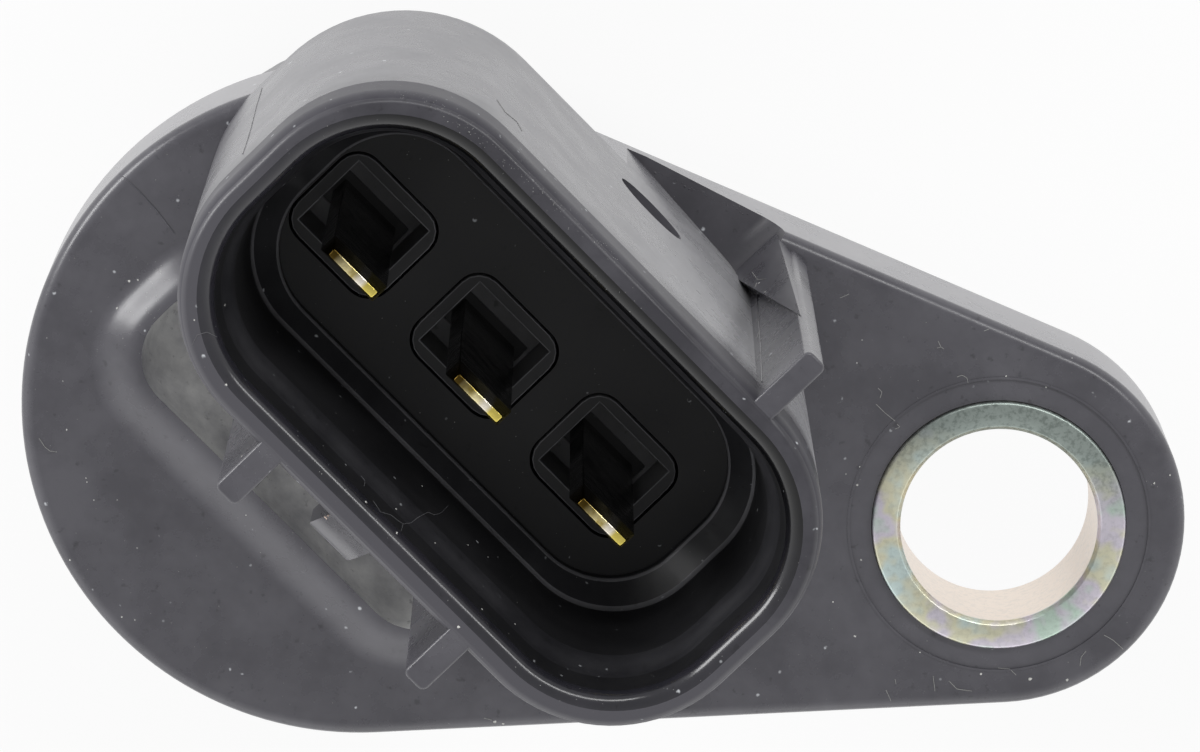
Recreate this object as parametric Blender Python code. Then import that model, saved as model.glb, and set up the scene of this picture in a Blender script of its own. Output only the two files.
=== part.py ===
"""Crankshaft position sensor: one-bolt flange, oval three-pin connector, Hall element in the barrel.

Metres, +Z up the barrel towards the connector, +X from the barrel's axis to the bolt hole.
The origin is the centre of the flat sensing face at the barrel's lower end.
"""
import math

import bmesh
import bpy
from mathutils import Matrix, Vector

MM = 0.001
GAP = 0.30 * MM          # clearance between pieces that touch

# Flange
BARREL_TO_BOLT = 21.80 * MM
HEAD_R = 11.20 * MM
BOLT_END_R = 6.25 * MM
SEAT_Z = 24.0 * MM       # underside, which lies on the engine block
FLANGE_T = 4.20 * MM
TOP_Z = SEAT_Z + FLANGE_T
EDGE_R = 0.45 * MM       # rounding of the flange's upper edge
EDGE_BREAK = 0.20 * MM   # small chamfer on lower edges
SINK = 0.40 * MM         # how deep a joined shape starts inside its neighbour

# Sleeve for an M6 bolt
SLEEVE_ID = 6.60 * MM
SLEEVE_OD = 8.50 * MM
SLEEVE_PROUD = 0.15 * MM
SLEEVE_CHAMFER = 0.15 * MM
SLEEVE_SOFT = 0.10 * MM

# Barrel
BARREL_R = 8.95 * MM
NOSE_R = 8.00 * MM
BORE_R = 6.10 * MM
NOSE_TOP_Z = 11.5 * MM
CAP_H = 6.5 * MM
CAP_WALL = 0.75 * MM
FACE_T = 0.80 * MM       # end wall of the cap, which the field passes through
BORE_ROOF = 3.40 * MM    # depth of the bore's end below the flange's top
BORE_TOP_Z = TOP_Z - BORE_ROOF
CONE_H = 1.70 * MM
SPIGOT_CHAMFER = 0.30 * MM
CAP_EDGE = 0.35 * MM
CAP_LIP = 0.15 * MM
RING_D = 1.90 * MM
GROOVE_R = 7.40 * MM
GROOVE_W = 2.60 * MM
GROOVE_Z = SEAT_Z - 3.70 * MM

# Connector shroud, in its own frame: U along the row of blades, V across it
CONN_X, CONN_Y = 4.31 * MM, 4.35 * MM
CONN_TURN = math.radians(-35.5)
RIM_H = 16.0 * MM        # rim above the flange
RIM_Z = TOP_Z + RIM_H
SHROUD_TOP = (10.97 * MM, 6.06 * MM, 4.99 * MM)   # half length, half width, corner radius
SHROUD_ROOT = (11.05 * MM, 6.25 * MM, 5.50 * MM)
SHROUD_FOOT_D = 0.25 * MM
ROOT_STEP = 0.05 * MM    # the wall goes on down in the trough this much inside the shroud's foot
SHROUD_FOOT_Z = TOP_Z - SHROUD_FOOT_D
RIM_ROUND = 0.35 * MM
MOUTH = (9.91 * MM, 4.90 * MM, 3.93 * MM)
MOUTH_ROUND = 0.30 * MM
LEAD_IN_H = 2.6 * MM
THROAT = (9.50 * MM, 4.45 * MM, 3.62 * MM)
LEDGE_OUT = (9.22 * MM, 4.15 * MM, 3.35 * MM)
LEDGE_IN = (8.35 * MM, 3.49 * MM, 2.78 * MM)
LEDGE_OUT_H, LEDGE_IN_H, FLOOR_H = 8.40 * MM, 7.80 * MM, 7.30 * MM
LEDGE_OUT_Z = TOP_Z + LEDGE_OUT_H
LEDGE_IN_Z = TOP_Z + LEDGE_IN_H
FLOOR_Z = TOP_Z + FLOOR_H
WALL_V = (MOUTH[1] + SHROUD_TOP[1]) / 2    # middle of the long walls

# Guide ribs: low and high U, outer V, foot
NEAR_RIBS = ((-4.55 * MM, -3.65 * MM), (3.72 * MM, 4.62 * MM))
NEAR_RIB_V = -7.92 * MM
FAR_RIB = (5.10 * MM, 5.92 * MM)
FAR_RIB_V = 8.20 * MM
RIB_CORNER = 0.22 * MM
RIB_BREAK = 0.10 * MM
RIB_TOP_Z = RIM_Z - 0.05 * MM    # the ribs end a hair below the rim
GUSSET_SPREAD = 0.64 * MM
GUSSET_H = 10.5 * MM

# Latch nose between the near ribs
NOSE_U = (-1.12 * MM, 0.62 * MM)
NOSE_V = -7.45 * MM
NOSE_EDGE_H = 12.0 * MM
NOSE_BACK_H, NOSE_RAMP_H = NOSE_EDGE_H - 1.6 * MM, NOSE_EDGE_H + 2.4 * MM
NOSE_EDGE_Z = TOP_Z + NOSE_EDGE_H
NOSE_BACK_Z = TOP_Z + NOSE_BACK_H
NOSE_RAMP_Z = TOP_Z + NOSE_RAMP_H

# Pad and trough on the near side of the flange
PAD_OUT = (-9.40 * MM, 7.40 * MM, -12.10 * MM)    # low U, high U, low V on the flange
PAD_IN = (-7.95 * MM, 6.20 * MM, -10.30 * MM)     # the crisp edge of the trough
PAD_BACK_V = -5.60 * MM
PAD_H = 0.80 * MM
PAD_CORNER_R = 3.20 * MM
TROUGH_CORNER_R = 1.90 * MM
TROUGH_D = 1.60 * MM
TROUGH_SWEEP = 1.55 * MM
TROUGH_SIDE_SWEEP = 0.35  # share of the sweep that the trough's end walls take
TROUGH_BACK_V = -5.90 * MM

# Scoop in the flange's far edge beside the rib, and the dimple in the shroud above it
SCOOP_V = 6.20 * MM
SCOOP_TOP_U = 4.70 * MM  # where its steep end meets the flange's top
SCOOP_END = (4.38 * MM, 1.20 * MM)    # foot of the steep end: U and depth
SCOOP_LOW = (0.00 * MM, 3.30 * MM)    # where the floor passes under the shroud: U and depth
DIMPLE_U, DIMPLE_H = 0.42 * MM, 3.30 * MM
DIMPLE_Z = TOP_Z + DIMPLE_H
DIMPLE_R = 1.38 * MM
DIMPLE_D = 0.25 * MM

# Terminals
PITCH = 5.50 * MM
ROW_U, ROW_V = -0.67 * MM, -0.25 * MM
BLADE_V = ROW_V - 0.12 * MM    # the blades stand a little to one side in their wells
BLADE_W = 2.30 * MM
BLADE_T = 0.64 * MM
BLADE_H = 14.6 * MM
BLADE_TIP_Z = TOP_Z + BLADE_H
TIP_TAPER = 0.80 * MM
TIP_INSET = 0.20 * MM
CHANNEL_D = 0.10 * MM    # the strips lie in a shallow channel of the carrier's plate
STRIP_W = 1.20 * MM
STRIP_PITCH = 1.90 * MM
ARM_V = (-1.95 * MM, -0.93 * MM)
LEG_V = (-2.62 * MM, -1.98 * MM)
LEG_END_Z = 11.0 * MM

# Carrier that holds the terminals
TOWER_L, TOWER_W, TOWER_R = 4.00 * MM, 3.50 * MM, 0.80 * MM
WELL_L, WELL_W = 3.16 * MM, 2.70 * MM
WELL_D = 2.80 * MM
PLATE_LOW_H, PLATE_HIGH_H = 1.30 * MM, 2.50 * MM
PLATE_Z = (TOP_Z + PLATE_LOW_H, TOP_Z + PLATE_HIGH_H)
STRIP_Z = PLATE_Z[1] - CHANNEL_D + GAP
PLATE_U = (-8.60 * MM, 7.20 * MM)
PLATE_V = (-2.30 * MM, 2.00 * MM)
PLATE_CORNER = 0.90 * MM
NECK_V = (-5.00 * MM, -2.95 * MM)
NECK_HALF = 4.00 * MM
SET_IN = 0.10 * MM       # small steps between the carrier's neck, stem and plate
ROOF_H = 4.40 * MM       # underside of the connector's floor
ROOF_Z = TOP_Z + ROOF_H
STEM_V = -8.60 * MM
FLUTE_D = 1.10 * MM
FLUTE_MARGIN = 1.20 * MM
HOLDER_TOP_Z = 10.5 * MM
HOLDER_CHAMFER = 0.30 * MM
HOLDER_FLAT_V = -2.66 * MM

# Sensing element, stacked upwards from the cap's end wall
IC_L, IC_W, IC_T = 5.40 * MM, 4.20 * MM, 1.50 * MM
PLATE_R, PLATE_T = 3.00 * MM, 0.60 * MM
MAGNET_R, MAGNET_H = 3.00 * MM, 4.50 * MM
LEAD_W, LEAD_T = 0.50 * MM, 0.40 * MM
LEAD_V = -1.28 * MM
LEAD_TOP_Z = 15.0 * MM
LEAD_BEND = 0.15 * MM
IC_DRAFT = 0.12 * MM
CHIP_SIZE = (1.80 * MM, 0.80 * MM, 1.25 * MM)
CHIP_SHARES = (0.255, 0.561)    # where the two stand between the leads' upper ends and the bore's end
CHIP_Z = [LEAD_TOP_Z + (BORE_TOP_Z - LEAD_TOP_Z) * share for share in CHIP_SHARES]
CHIP_BREAK = 0.08 * MM
MAGNET_CHAMFER = 0.20 * MM

IC_Z = FACE_T + GAP
FLUX_Z = IC_Z + IC_T + GAP
MAGNET_Z = FLUX_Z + PLATE_T + GAP
HOLDER_LIFT = 0.50 * MM
HOLDER_Z = IC_Z + HOLDER_LIFT

TO_WORLD = Matrix.Translation((CONN_X, CONN_Y, 0)) @ Matrix.Rotation(CONN_TURN, 4, "Z")
AXIS_U, AXIS_V = (TO_WORLD.inverted() @ Vector((0, 0, 0))).xy


def clear_scene():
    for obj in list(bpy.data.objects):
        bpy.data.objects.remove(obj, do_unlink=True)


def material(name, colour, roughness, metallic=0.0):
    mat = bpy.data.materials.new(name)
    mat.use_nodes = True
    shader = mat.node_tree.nodes["Principled BSDF"]
    shader.inputs["Base Color"].default_value = (*colour, 1)
    shader.inputs["Roughness"].default_value = roughness
    shader.inputs["Metallic"].default_value = metallic
    return mat


def new_object(name, bm, matrix=None, smooth=True):
    bmesh.ops.recalc_face_normals(bm, faces=bm.faces)
    mesh = bpy.data.meshes.new(name)
    bm.to_mesh(mesh)
    bm.free()
    if matrix is not None:
        mesh.transform(matrix)
    if smooth:
        mesh.shade_smooth()
        mesh.set_sharp_from_angle(angle=math.radians(32))
    obj = bpy.data.objects.new(name, mesh)
    bpy.context.scene.collection.objects.link(obj)
    return obj


def loft(rings):
    """Closed body through rings of equal point count, capped at both ends."""
    bm = bmesh.new()
    loops = [[bm.verts.new(p) for p in ring] for ring in rings]
    count = len(loops[0])
    for low, high in zip(loops, loops[1:]):
        for i in range(count):
            j = (i + 1) % count
            bm.faces.new((low[i], low[j], high[j], high[i]))
    bm.faces.new(loops[0])
    bm.faces.new(loops[-1])
    return bm


def turned(profile, steps):
    """Revolve a closed outline of (radius, z) about Z; it stays clear of the axis."""
    bm = bmesh.new()
    verts = [bm.verts.new((r, 0, z)) for r, z in profile]
    edges = [bm.edges.new((verts[i], verts[(i + 1) % len(verts)])) for i in range(len(verts))]
    bmesh.ops.spin(bm, geom=verts + edges, cent=(0, 0, 0), axis=(0, 0, 1), angle=2 * math.pi,
                   steps=steps, use_merge=True)
    return bm


def disc(radius, low, high, steps, chamfer=0.0):
    """Solid cylinder about Z with an optional chamfer at both ends."""
    levels = [(radius, low), (radius, high)]
    if chamfer:
        levels = [(radius - chamfer, low), (radius, low + chamfer),
                  (radius, high - chamfer), (radius - chamfer, high)]
    return loft([circle(r, z, steps) for r, z in levels])


def circle(radius, z, steps):
    return [(radius * math.cos(2 * math.pi * i / steps), radius * math.sin(2 * math.pi * i / steps), z)
            for i in range(steps)]


def arc(cx, cy, radius, start, end, steps):
    return [(cx + radius * math.cos(start + (end - start) * i / steps),
             cy + radius * math.sin(start + (end - start) * i / steps)) for i in range(steps + 1)]


def flange_ring(inset, z):
    """Outline round the head circle and the bolt end, joined by their common tangents."""
    tangent = math.acos((HEAD_R - BOLT_END_R) / BARREL_TO_BOLT)
    head = arc(0, 0, HEAD_R - inset, tangent, 2 * math.pi - tangent, 64)
    end = arc(BARREL_TO_BOLT, 0, BOLT_END_R - inset, -tangent, tangent, 28)
    return [(x, y, z) for x, y in head + end]


def round_box(low_u, high_u, low_v, high_v, radius, z, steps=6):
    """Rounded rectangle in the connector's frame."""
    centres = ((high_u - radius, high_v - radius), (low_u + radius, high_v - radius),
               (low_u + radius, low_v + radius), (high_u - radius, low_v + radius))
    points = []
    for quarter, (cu, cv) in enumerate(centres):
        start = quarter * math.pi / 2
        points += arc(cu, cv, radius, start, start + math.pi / 2, steps)
    return [(u, v, z) for u, v in points]


def oval(size, z, grow=0.0, steps=12):
    a, b, radius = (value + grow for value in size)
    return round_box(-a, a, -b, b, radius, z, steps)


def between(first, second, share):
    return tuple(p + (q - p) * share for p, q in zip(first, second))


def block(low, high):
    bm = bmesh.new()
    bmesh.ops.create_cube(bm, size=1)
    size = Vector(high) - Vector(low)
    middle = (Vector(high) + Vector(low)) / 2
    bmesh.ops.scale(bm, vec=size, verts=bm.verts)
    bmesh.ops.translate(bm, vec=middle, verts=bm.verts)
    return bm


def prism(outline, low, high):
    """Upright prism over an outline of (u, v) points."""
    return loft([[(u, v, z) for u, v in outline] for z in (low, high)])


def tool(name, bm, matrix=None):
    obj = new_object(name, bm, matrix, smooth=False)
    obj.hide_render = True
    obj.display_type = "WIRE"
    return obj


def boolean(target, other, operation):
    mod = target.modifiers.new(operation.lower() + "_" + other.name, "BOOLEAN")
    mod.operation = operation
    mod.solver = "EXACT"
    mod.object = other


def connector_tool(name, bm):
    return tool(name, bm, TO_WORLD)


def flange():
    """Plate with a rounded upper edge and a small break on the lower one."""
    rings = [flange_ring(EDGE_BREAK, SEAT_Z), flange_ring(0.0, SEAT_Z + EDGE_BREAK)]
    for step in range(4):
        angle = step * math.pi / 6
        rings.append(flange_ring(EDGE_R * (1 - math.cos(angle)), TOP_Z - EDGE_R * (1 - math.sin(angle))))
    return loft(rings)


def pad():
    """Soft-edged raised pad: an S-shaped flank rises to the crisp edge of the trough."""
    rings = [round_box(PAD_OUT[0], PAD_OUT[1], PAD_OUT[2], PAD_BACK_V, PAD_CORNER_R, TOP_Z - MM)]
    for step in range(7):
        share = step / 6
        rise = (1 - math.cos(math.pi * share)) / 2
        low_u, high_u, low_v = between(PAD_OUT, PAD_IN, share)
        radius = PAD_CORNER_R + (TROUGH_CORNER_R - PAD_CORNER_R) * share
        rings.append(round_box(low_u, high_u, low_v, PAD_BACK_V, radius, TOP_Z + PAD_H * rise))
    return loft(rings)


def trough():
    """Sunk space under the latch: its outer wall sweeps down in a quarter of an oval."""
    rings = [round_box(*PAD_IN, TROUGH_BACK_V, TROUGH_CORNER_R, TOP_Z + PAD_H + MM)]
    depth = PAD_H + TROUGH_D
    for step in range(8):
        angle = step * math.pi / 14
        inward = TROUGH_SWEEP * (1 - math.cos(angle))
        aside = inward * TROUGH_SIDE_SWEEP
        rings.append(round_box(PAD_IN[0] + aside, PAD_IN[1] - aside, PAD_IN[2] + inward, TROUGH_BACK_V,
                               TROUGH_CORNER_R - aside, TOP_Z + PAD_H - depth * math.sin(angle)))
    return loft(rings)


def scoop():
    """Cut with a steep end beside the rib and a floor that falls away from it."""
    steep = (SCOOP_TOP_U - SCOOP_END[0]) / SCOOP_END[1]
    side = [(SCOOP_TOP_U + steep * MM, TOP_Z + MM), (SCOOP_END[0], TOP_Z - SCOOP_END[1]),
            (SCOOP_LOW[0], TOP_Z - SCOOP_LOW[1]), (-HEAD_R, TOP_Z - SCOOP_LOW[1]), (-HEAD_R, TOP_Z + MM)]
    return loft([[(u, v, z) for u, z in side] for v in (SCOOP_V, SCOOP_V + HEAD_R)])


def shroud_body():
    """Drafted oval column with a rounded rim."""
    straight = between(SHROUD_ROOT, SHROUD_TOP, (RIM_H - RIM_ROUND) / RIM_H)
    rings = [oval(SHROUD_ROOT, SHROUD_FOOT_Z, -EDGE_BREAK), oval(SHROUD_ROOT, SHROUD_FOOT_Z + EDGE_BREAK)]
    for step in range(4):
        angle = step * math.pi / 6
        rings.append(oval(straight, RIM_Z - RIM_ROUND * (1 - math.sin(angle)),
                          -RIM_ROUND * (1 - math.cos(angle))))
    return loft(rings)


def cavity():
    """Inside of the shroud: rounded mouth, lead-in, sealing bore, sloped ledge and flat floor."""
    rings = [oval(MOUTH, RIM_Z + MM, MOUTH_ROUND)]
    for step in range(4):
        angle = step * math.pi / 6
        rings.append(oval(MOUTH, RIM_Z - MOUTH_ROUND * (1 - math.cos(angle)),
                          MOUTH_ROUND * (1 - math.sin(angle))))
    rings += [oval(THROAT, RIM_Z - LEAD_IN_H), oval(LEDGE_OUT, LEDGE_OUT_Z),
              oval(LEDGE_IN, LEDGE_IN_Z), oval(LEDGE_IN, FLOOR_Z)]
    return loft(rings)


def rib(span, outer_v, inner_v, foot_z):
    """Guide rib with rounded outer corners, standing from foot_z to the rim."""
    low_v, high_v = sorted((outer_v, inner_v))
    rings = [round_box(*span, low_v, high_v, RIB_CORNER, z, 3) for z in (foot_z, RIB_TOP_Z - RIB_BREAK)]
    rings.append(round_box(span[0] + RIB_BREAK, span[1] - RIB_BREAK, low_v + RIB_BREAK, high_v - RIB_BREAK,
                           RIB_CORNER, RIB_TOP_Z, 3))
    return loft(rings)


def latch_nose():
    """Wedge the plug's latch snaps over: a long ramp above, a square back below."""
    ramp_z = NOSE_EDGE_Z + (NOSE_RAMP_Z - NOSE_EDGE_Z) * (NOSE_V + WALL_V) / (NOSE_V + SHROUD_TOP[1])
    outline = ((-WALL_V, NOSE_BACK_Z), (NOSE_V, NOSE_BACK_Z), (NOSE_V, NOSE_EDGE_Z), (-WALL_V, ramp_z))
    return loft([[(u, v, z) for v, z in outline] for u in NOSE_U])


def rib_gusset():
    """Tapered web in the corner between the far rib and the flange."""
    foot, top = TOP_Z - SCOOP_END[1] - SINK, TOP_Z + GUSSET_H
    inside = FAR_RIB[0] + RIB_BREAK
    spread = FAR_RIB[0] - GUSSET_SPREAD
    outer_v, inner_v = FAR_RIB_V - RIB_BREAK, SHROUD_ROOT[1] - SINK
    bm = bmesh.new()
    corners = ((spread, outer_v, foot), (inside, outer_v, foot), (inside, inner_v, foot),
               (spread, inner_v, foot), (inside, outer_v, top), (FAR_RIB[0], outer_v, top))
    bmesh.ops.convex_hull(bm, input=[bm.verts.new(corner) for corner in corners])
    return bm


def barrel():
    """Turned barrel: spigot for the cap, nose, lead-in cone and O-ring groove; the bore is cut later."""
    core = BORE_R - SET_IN
    spigot = NOSE_R - CAP_WALL - GAP
    low = FACE_T + GAP
    shoulder = CAP_H + GAP
    groove = (GROOVE_Z - GROOVE_W / 2, GROOVE_Z + GROOVE_W / 2)
    profile = [(spigot - SPIGOT_CHAMFER, low), (spigot, low + SPIGOT_CHAMFER), (spigot, shoulder),
               (NOSE_R, shoulder), (NOSE_R, NOSE_TOP_Z), (BARREL_R, NOSE_TOP_Z + CONE_H),
               (BARREL_R, groove[0]), (GROOVE_R, groove[0]), (GROOVE_R, groove[1]), (BARREL_R, groove[1]),
               (BARREL_R, SEAT_Z + MM), (core, SEAT_Z + MM), (core, low)]
    return turned(profile, 56)


def build_housing():
    body = new_object("sensor_housing", flange())
    boolean(body, connector_tool("pad_tool", pad()), "UNION")
    boolean(body, connector_tool("trough_tool", trough()), "DIFFERENCE")
    boolean(body, connector_tool("scoop_tool", scoop()), "DIFFERENCE")

    # The shroud's near side runs on down to the trough's floor
    trough_foot = TOP_Z - TROUGH_D - SINK
    skirt = loft([oval(SHROUD_ROOT, z, -ROOT_STEP) for z in (trough_foot, TOP_Z + SINK)])
    root = connector_tool("root_tool", skirt)
    reach = block((PAD_IN[0] - SINK, -HEAD_R, trough_foot - MM), (PAD_IN[1] + SINK, ROW_V, TOP_Z + MM))
    boolean(root, connector_tool("root_reach", reach), "INTERSECT")
    boolean(body, root, "UNION")
    boolean(body, connector_tool("shroud_tool", shroud_body()), "UNION")
    for index, span in enumerate(NEAR_RIBS, 1):
        near = rib(span, NEAR_RIB_V, -WALL_V, trough_foot)
        boolean(body, connector_tool("near_rib_%d" % index, near), "UNION")
    boolean(body, connector_tool("far_rib", rib(FAR_RIB, FAR_RIB_V, WALL_V, TOP_Z - MM)), "UNION")
    boolean(body, connector_tool("latch_nose", latch_nose()), "UNION")
    boolean(body, connector_tool("rib_gusset", rib_gusset()), "UNION")
    boolean(body, connector_tool("cavity_tool", cavity()), "DIFFERENCE")

    turn = Matrix.Rotation(-math.pi / 2, 4, "X")
    dimple = disc(DIMPLE_R, -DIMPLE_D, MM, 20)
    wall_v = between(SHROUD_ROOT, SHROUD_TOP, (DIMPLE_Z - TOP_Z) / RIM_H)[1]
    bmesh.ops.transform(dimple, matrix=Matrix.Translation((DIMPLE_U, wall_v, DIMPLE_Z)) @ turn,
                        verts=dimple.verts)
    boolean(body, connector_tool("dimple_tool", dimple), "DIFFERENCE")

    boolean(body, tool("barrel_tool", barrel()), "UNION")
    sleeve_bore = disc(SLEEVE_OD / 2 + GAP, SEAT_Z - MM, TOP_Z + MM, 48)
    bmesh.ops.translate(sleeve_bore, vec=(BARREL_TO_BOLT, 0, 0), verts=sleeve_bore.verts)
    boolean(body, tool("sleeve_bore", sleeve_bore), "DIFFERENCE")

    # Space for the insert: barrel bore, shaft through the flange, chamber, and the towers' openings
    boolean(body, tool("bore_tool", disc(BORE_R, FACE_T, BORE_TOP_Z, 56)), "DIFFERENCE")
    shaft_half = NECK_HALF - SET_IN + GAP
    shaft = block((AXIS_U - shaft_half, NECK_V[0] + SET_IN - GAP, BORE_TOP_Z - MM),
                  (AXIS_U + shaft_half, LEG_V[1] + 2 * GAP, PLATE_Z[0] + GAP))
    boolean(body, connector_tool("shaft_tool", shaft), "DIFFERENCE")
    chamber = prism(plate_outline(GAP), PLATE_Z[0] - GAP, ROOF_Z)
    boolean(body, connector_tool("chamber_tool", chamber), "DIFFERENCE")
    for index in range(3):
        opening = tower(index, GAP, PLATE_Z[1], FLOOR_Z + GAP)
        boolean(body, connector_tool("tower_opening_%d" % (index + 1), opening), "DIFFERENCE")
    return body


def blade_u(index):
    return ROW_U + (index - 1) * PITCH


def leg_u(index):
    return AXIS_U + (index - 1) * STRIP_PITCH


def plate_outline(grow):
    """T-shaped plan of the carrier's plate: a bar under the towers and a tongue over the neck."""
    low_u, high_u = PLATE_U[0] - grow, PLATE_U[1] + grow
    low_v, high_v = PLATE_V[0] - grow, PLATE_V[1] + grow
    tongue = NECK_HALF + grow
    cut = PLATE_CORNER
    return [(low_u, low_v), (AXIS_U - tongue, low_v), (AXIS_U - tongue, NECK_V[0] - grow),
            (AXIS_U + tongue, NECK_V[0] - grow), (AXIS_U + tongue, low_v), (high_u, low_v),
            (high_u, high_v - cut), (high_u - cut, high_v), (low_u + cut, high_v), (low_u, high_v - cut)]


def tower(index, grow, low, high):
    u = blade_u(index)
    half_l, half_w = TOWER_L / 2 + grow, TOWER_W / 2 + grow
    return loft([round_box(u - half_l, u + half_l, ROW_V - half_w, ROW_V + half_w, TOWER_R + grow, z, 4)
                 for z in (low, high)])


def build_carrier():
    body = new_object("terminal_carrier", prism(plate_outline(0.0), *PLATE_Z), TO_WORLD)
    for index in range(3):
        post = tower(index, 0.0, PLATE_Z[1] - SINK, FLOOR_Z)
        boolean(body, connector_tool("post_%d" % (index + 1), post), "UNION")
    neck_half = NECK_HALF - SET_IN
    neck = block((AXIS_U - neck_half, NECK_V[0] + SET_IN, BORE_TOP_Z - MM),
                 (AXIS_U + neck_half, NECK_V[1], PLATE_Z[0] + SINK))
    boolean(body, connector_tool("neck_tool", neck), "UNION")
    stem_top = BORE_TOP_Z - GAP
    stem_half = neck_half - SET_IN
    stem = block((AXIS_U - stem_half, STEM_V, HOLDER_TOP_Z - MM),
                 (AXIS_U + stem_half, NECK_V[1] - SET_IN, stem_top))
    boolean(body, connector_tool("stem_tool", stem), "UNION")
    holder = disc(BORE_R - GAP, HOLDER_Z, HOLDER_TOP_Z, 40, HOLDER_CHAMFER)
    boolean(body, tool("holder_tool", holder), "UNION")

    flat = block((AXIS_U - NOSE_R, HOLDER_FLAT_V, HOLDER_Z - MM),
                 (AXIS_U + NOSE_R, AXIS_V + NOSE_R, HOLDER_TOP_Z + MM))
    boolean(body, connector_tool("flat_tool", flat), "DIFFERENCE")
    for side in (-1, 1):
        edge = AXIS_U + side * stem_half
        low_u, high_u = sorted((edge - side * FLUTE_D, edge + side * MM))
        flute = block((low_u, STEM_V + FLUTE_MARGIN, HOLDER_TOP_Z + FLUTE_MARGIN),
                      (high_u, NECK_V[1] - FLUTE_MARGIN, stem_top - FLUTE_MARGIN))
        boolean(body, connector_tool("flute_%d" % (1 + (side > 0)), flute), "DIFFERENCE")
    pocket = disc(MAGNET_R + GAP, HOLDER_Z - MM, MAGNET_Z + MAGNET_H + GAP, 40)
    boolean(body, tool("magnet_pocket", pocket), "DIFFERENCE")
    seat = block((AXIS_U - IC_L / 2 - GAP, AXIS_V - IC_W / 2 - GAP, HOLDER_Z - MM),
                 (AXIS_U + IC_L / 2 + GAP, HOLDER_FLAT_V + MM, IC_Z + IC_T + GAP))
    boolean(body, connector_tool("ic_seat", seat), "DIFFERENCE")

    # Wells, the slots that the blades come up through, and the channel and slot for strips and legs
    side, thick = BLADE_W / 2 + GAP, BLADE_T / 2 + GAP
    for index in range(3):
        u = blade_u(index)
        well = block((u - WELL_L / 2, ROW_V - WELL_W / 2, FLOOR_Z - WELL_D),
                     (u + WELL_L / 2, ROW_V + WELL_W / 2, FLOOR_Z + MM))
        boolean(body, connector_tool("well_%d" % (index + 1), well), "DIFFERENCE")
        passage = block((u - side, BLADE_V - thick, PLATE_Z[1] - 2 * CHANNEL_D),
                        (u + side, BLADE_V + thick, FLOOR_Z - WELL_D + CHANNEL_D))
        boolean(body, connector_tool("passage_%d" % (index + 1), passage), "DIFFERENCE")
    side += SET_IN
    channel = block((blade_u(0) - side, ARM_V[0] - GAP, PLATE_Z[1] - CHANNEL_D),
                    (blade_u(2) + side, ROW_V, STRIP_Z + BLADE_T + GAP))
    boolean(body, connector_tool("strip_channel", channel), "DIFFERENCE")
    side = STRIP_W / 2 + GAP
    slot = block((leg_u(0) - side, LEG_V[0] - GAP, PLATE_Z[0] - MM),
                 (leg_u(2) + side, LEG_V[1] + GAP, STRIP_Z + BLADE_T))
    boolean(body, connector_tool("leg_slot", slot), "DIFFERENCE")
    return body


def build_terminal(index):
    """Stamped strip: blade up into the connector, foot across the carrier, leg down the barrel."""
    u, leg = blade_u(index), leg_u(index)
    half = BLADE_W / 2
    foot_v = BLADE_V - BLADE_T / 2
    foot = [(u - half, BLADE_V + BLADE_T / 2), (u + half, BLADE_V + BLADE_T / 2)]
    low, high = leg - STRIP_W / 2, leg + STRIP_W / 2
    right = [(u + half, foot_v), (high, foot_v), (high, LEG_V[0]), (low, LEG_V[0])]
    left = [(low, foot_v), (u - half, foot_v)]
    if low > u - half + STRIP_W:
        right = [(u + half, ARM_V[1]), (high, ARM_V[1]), (high, LEG_V[0]), (low, LEG_V[0])]
        left = [(low, ARM_V[0]), (u - half, ARM_V[0])]
    elif high < u + half - STRIP_W:
        right = [(u + half, ARM_V[0]), (high, ARM_V[0]), (high, LEG_V[0]), (low, LEG_V[0])]
        left = [(low, ARM_V[1]), (u - half, ARM_V[1])]
    outline = foot + right + left
    strip = prism(outline[::-1], STRIP_Z, STRIP_Z + BLADE_T)
    body = new_object("terminal_%d" % (index + 1), strip, TO_WORLD, smooth=False)

    def cross(inset, z):
        a, b = half - inset, BLADE_T / 2 - inset * 0.9
        low_v, high_v = BLADE_V - b, BLADE_V + b
        return [(u - a, low_v, z), (u + a, low_v, z), (u + a, high_v, z), (u - a, high_v, z)]

    blade = loft([cross(0, STRIP_Z), cross(0, BLADE_TIP_Z - TIP_TAPER), cross(TIP_INSET, BLADE_TIP_Z)])
    boolean(body, connector_tool("blade_%d" % (index + 1), blade), "UNION")
    leg_block = block((low, LEG_V[0], LEG_END_Z), (high, LEG_V[1], STRIP_Z + BLADE_T))
    boolean(body, connector_tool("leg_%d" % (index + 1), leg_block), "UNION")
    return body


def build_lead(index):
    """Lead of the circuit, bent up from its edge to lie along the terminal's leg."""
    u = leg_u(index)
    start = AXIS_V + IC_W / 2 + GAP
    middle = IC_Z + IC_T / 2
    low, high = middle - LEAD_T / 2, middle + LEAD_T / 2
    inner = LEAD_V - LEAD_T
    side = [(start, low), (LEAD_V - LEAD_BEND, low), (LEAD_V, low + LEAD_BEND), (LEAD_V, LEAD_TOP_Z),
            (inner, LEAD_TOP_Z), (inner, high), (start, high)]
    bm = loft([[(u + offset, v, z) for v, z in side] for offset in (-LEAD_W / 2, LEAD_W / 2)])
    return new_object("ic_lead_%d" % (index + 1), bm, TO_WORLD, smooth=False)


def build_cap():
    inner = NOSE_R - CAP_WALL
    outer = [(NOSE_R - CAP_EDGE, 0), (NOSE_R, CAP_EDGE), (NOSE_R, CAP_H - CAP_LIP),
             (NOSE_R - CAP_LIP, CAP_H), (inner, CAP_H), (inner, FACE_T)]
    return new_object("end_cap", loft([circle(r, z, 56) for r, z in outer]))


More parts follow.
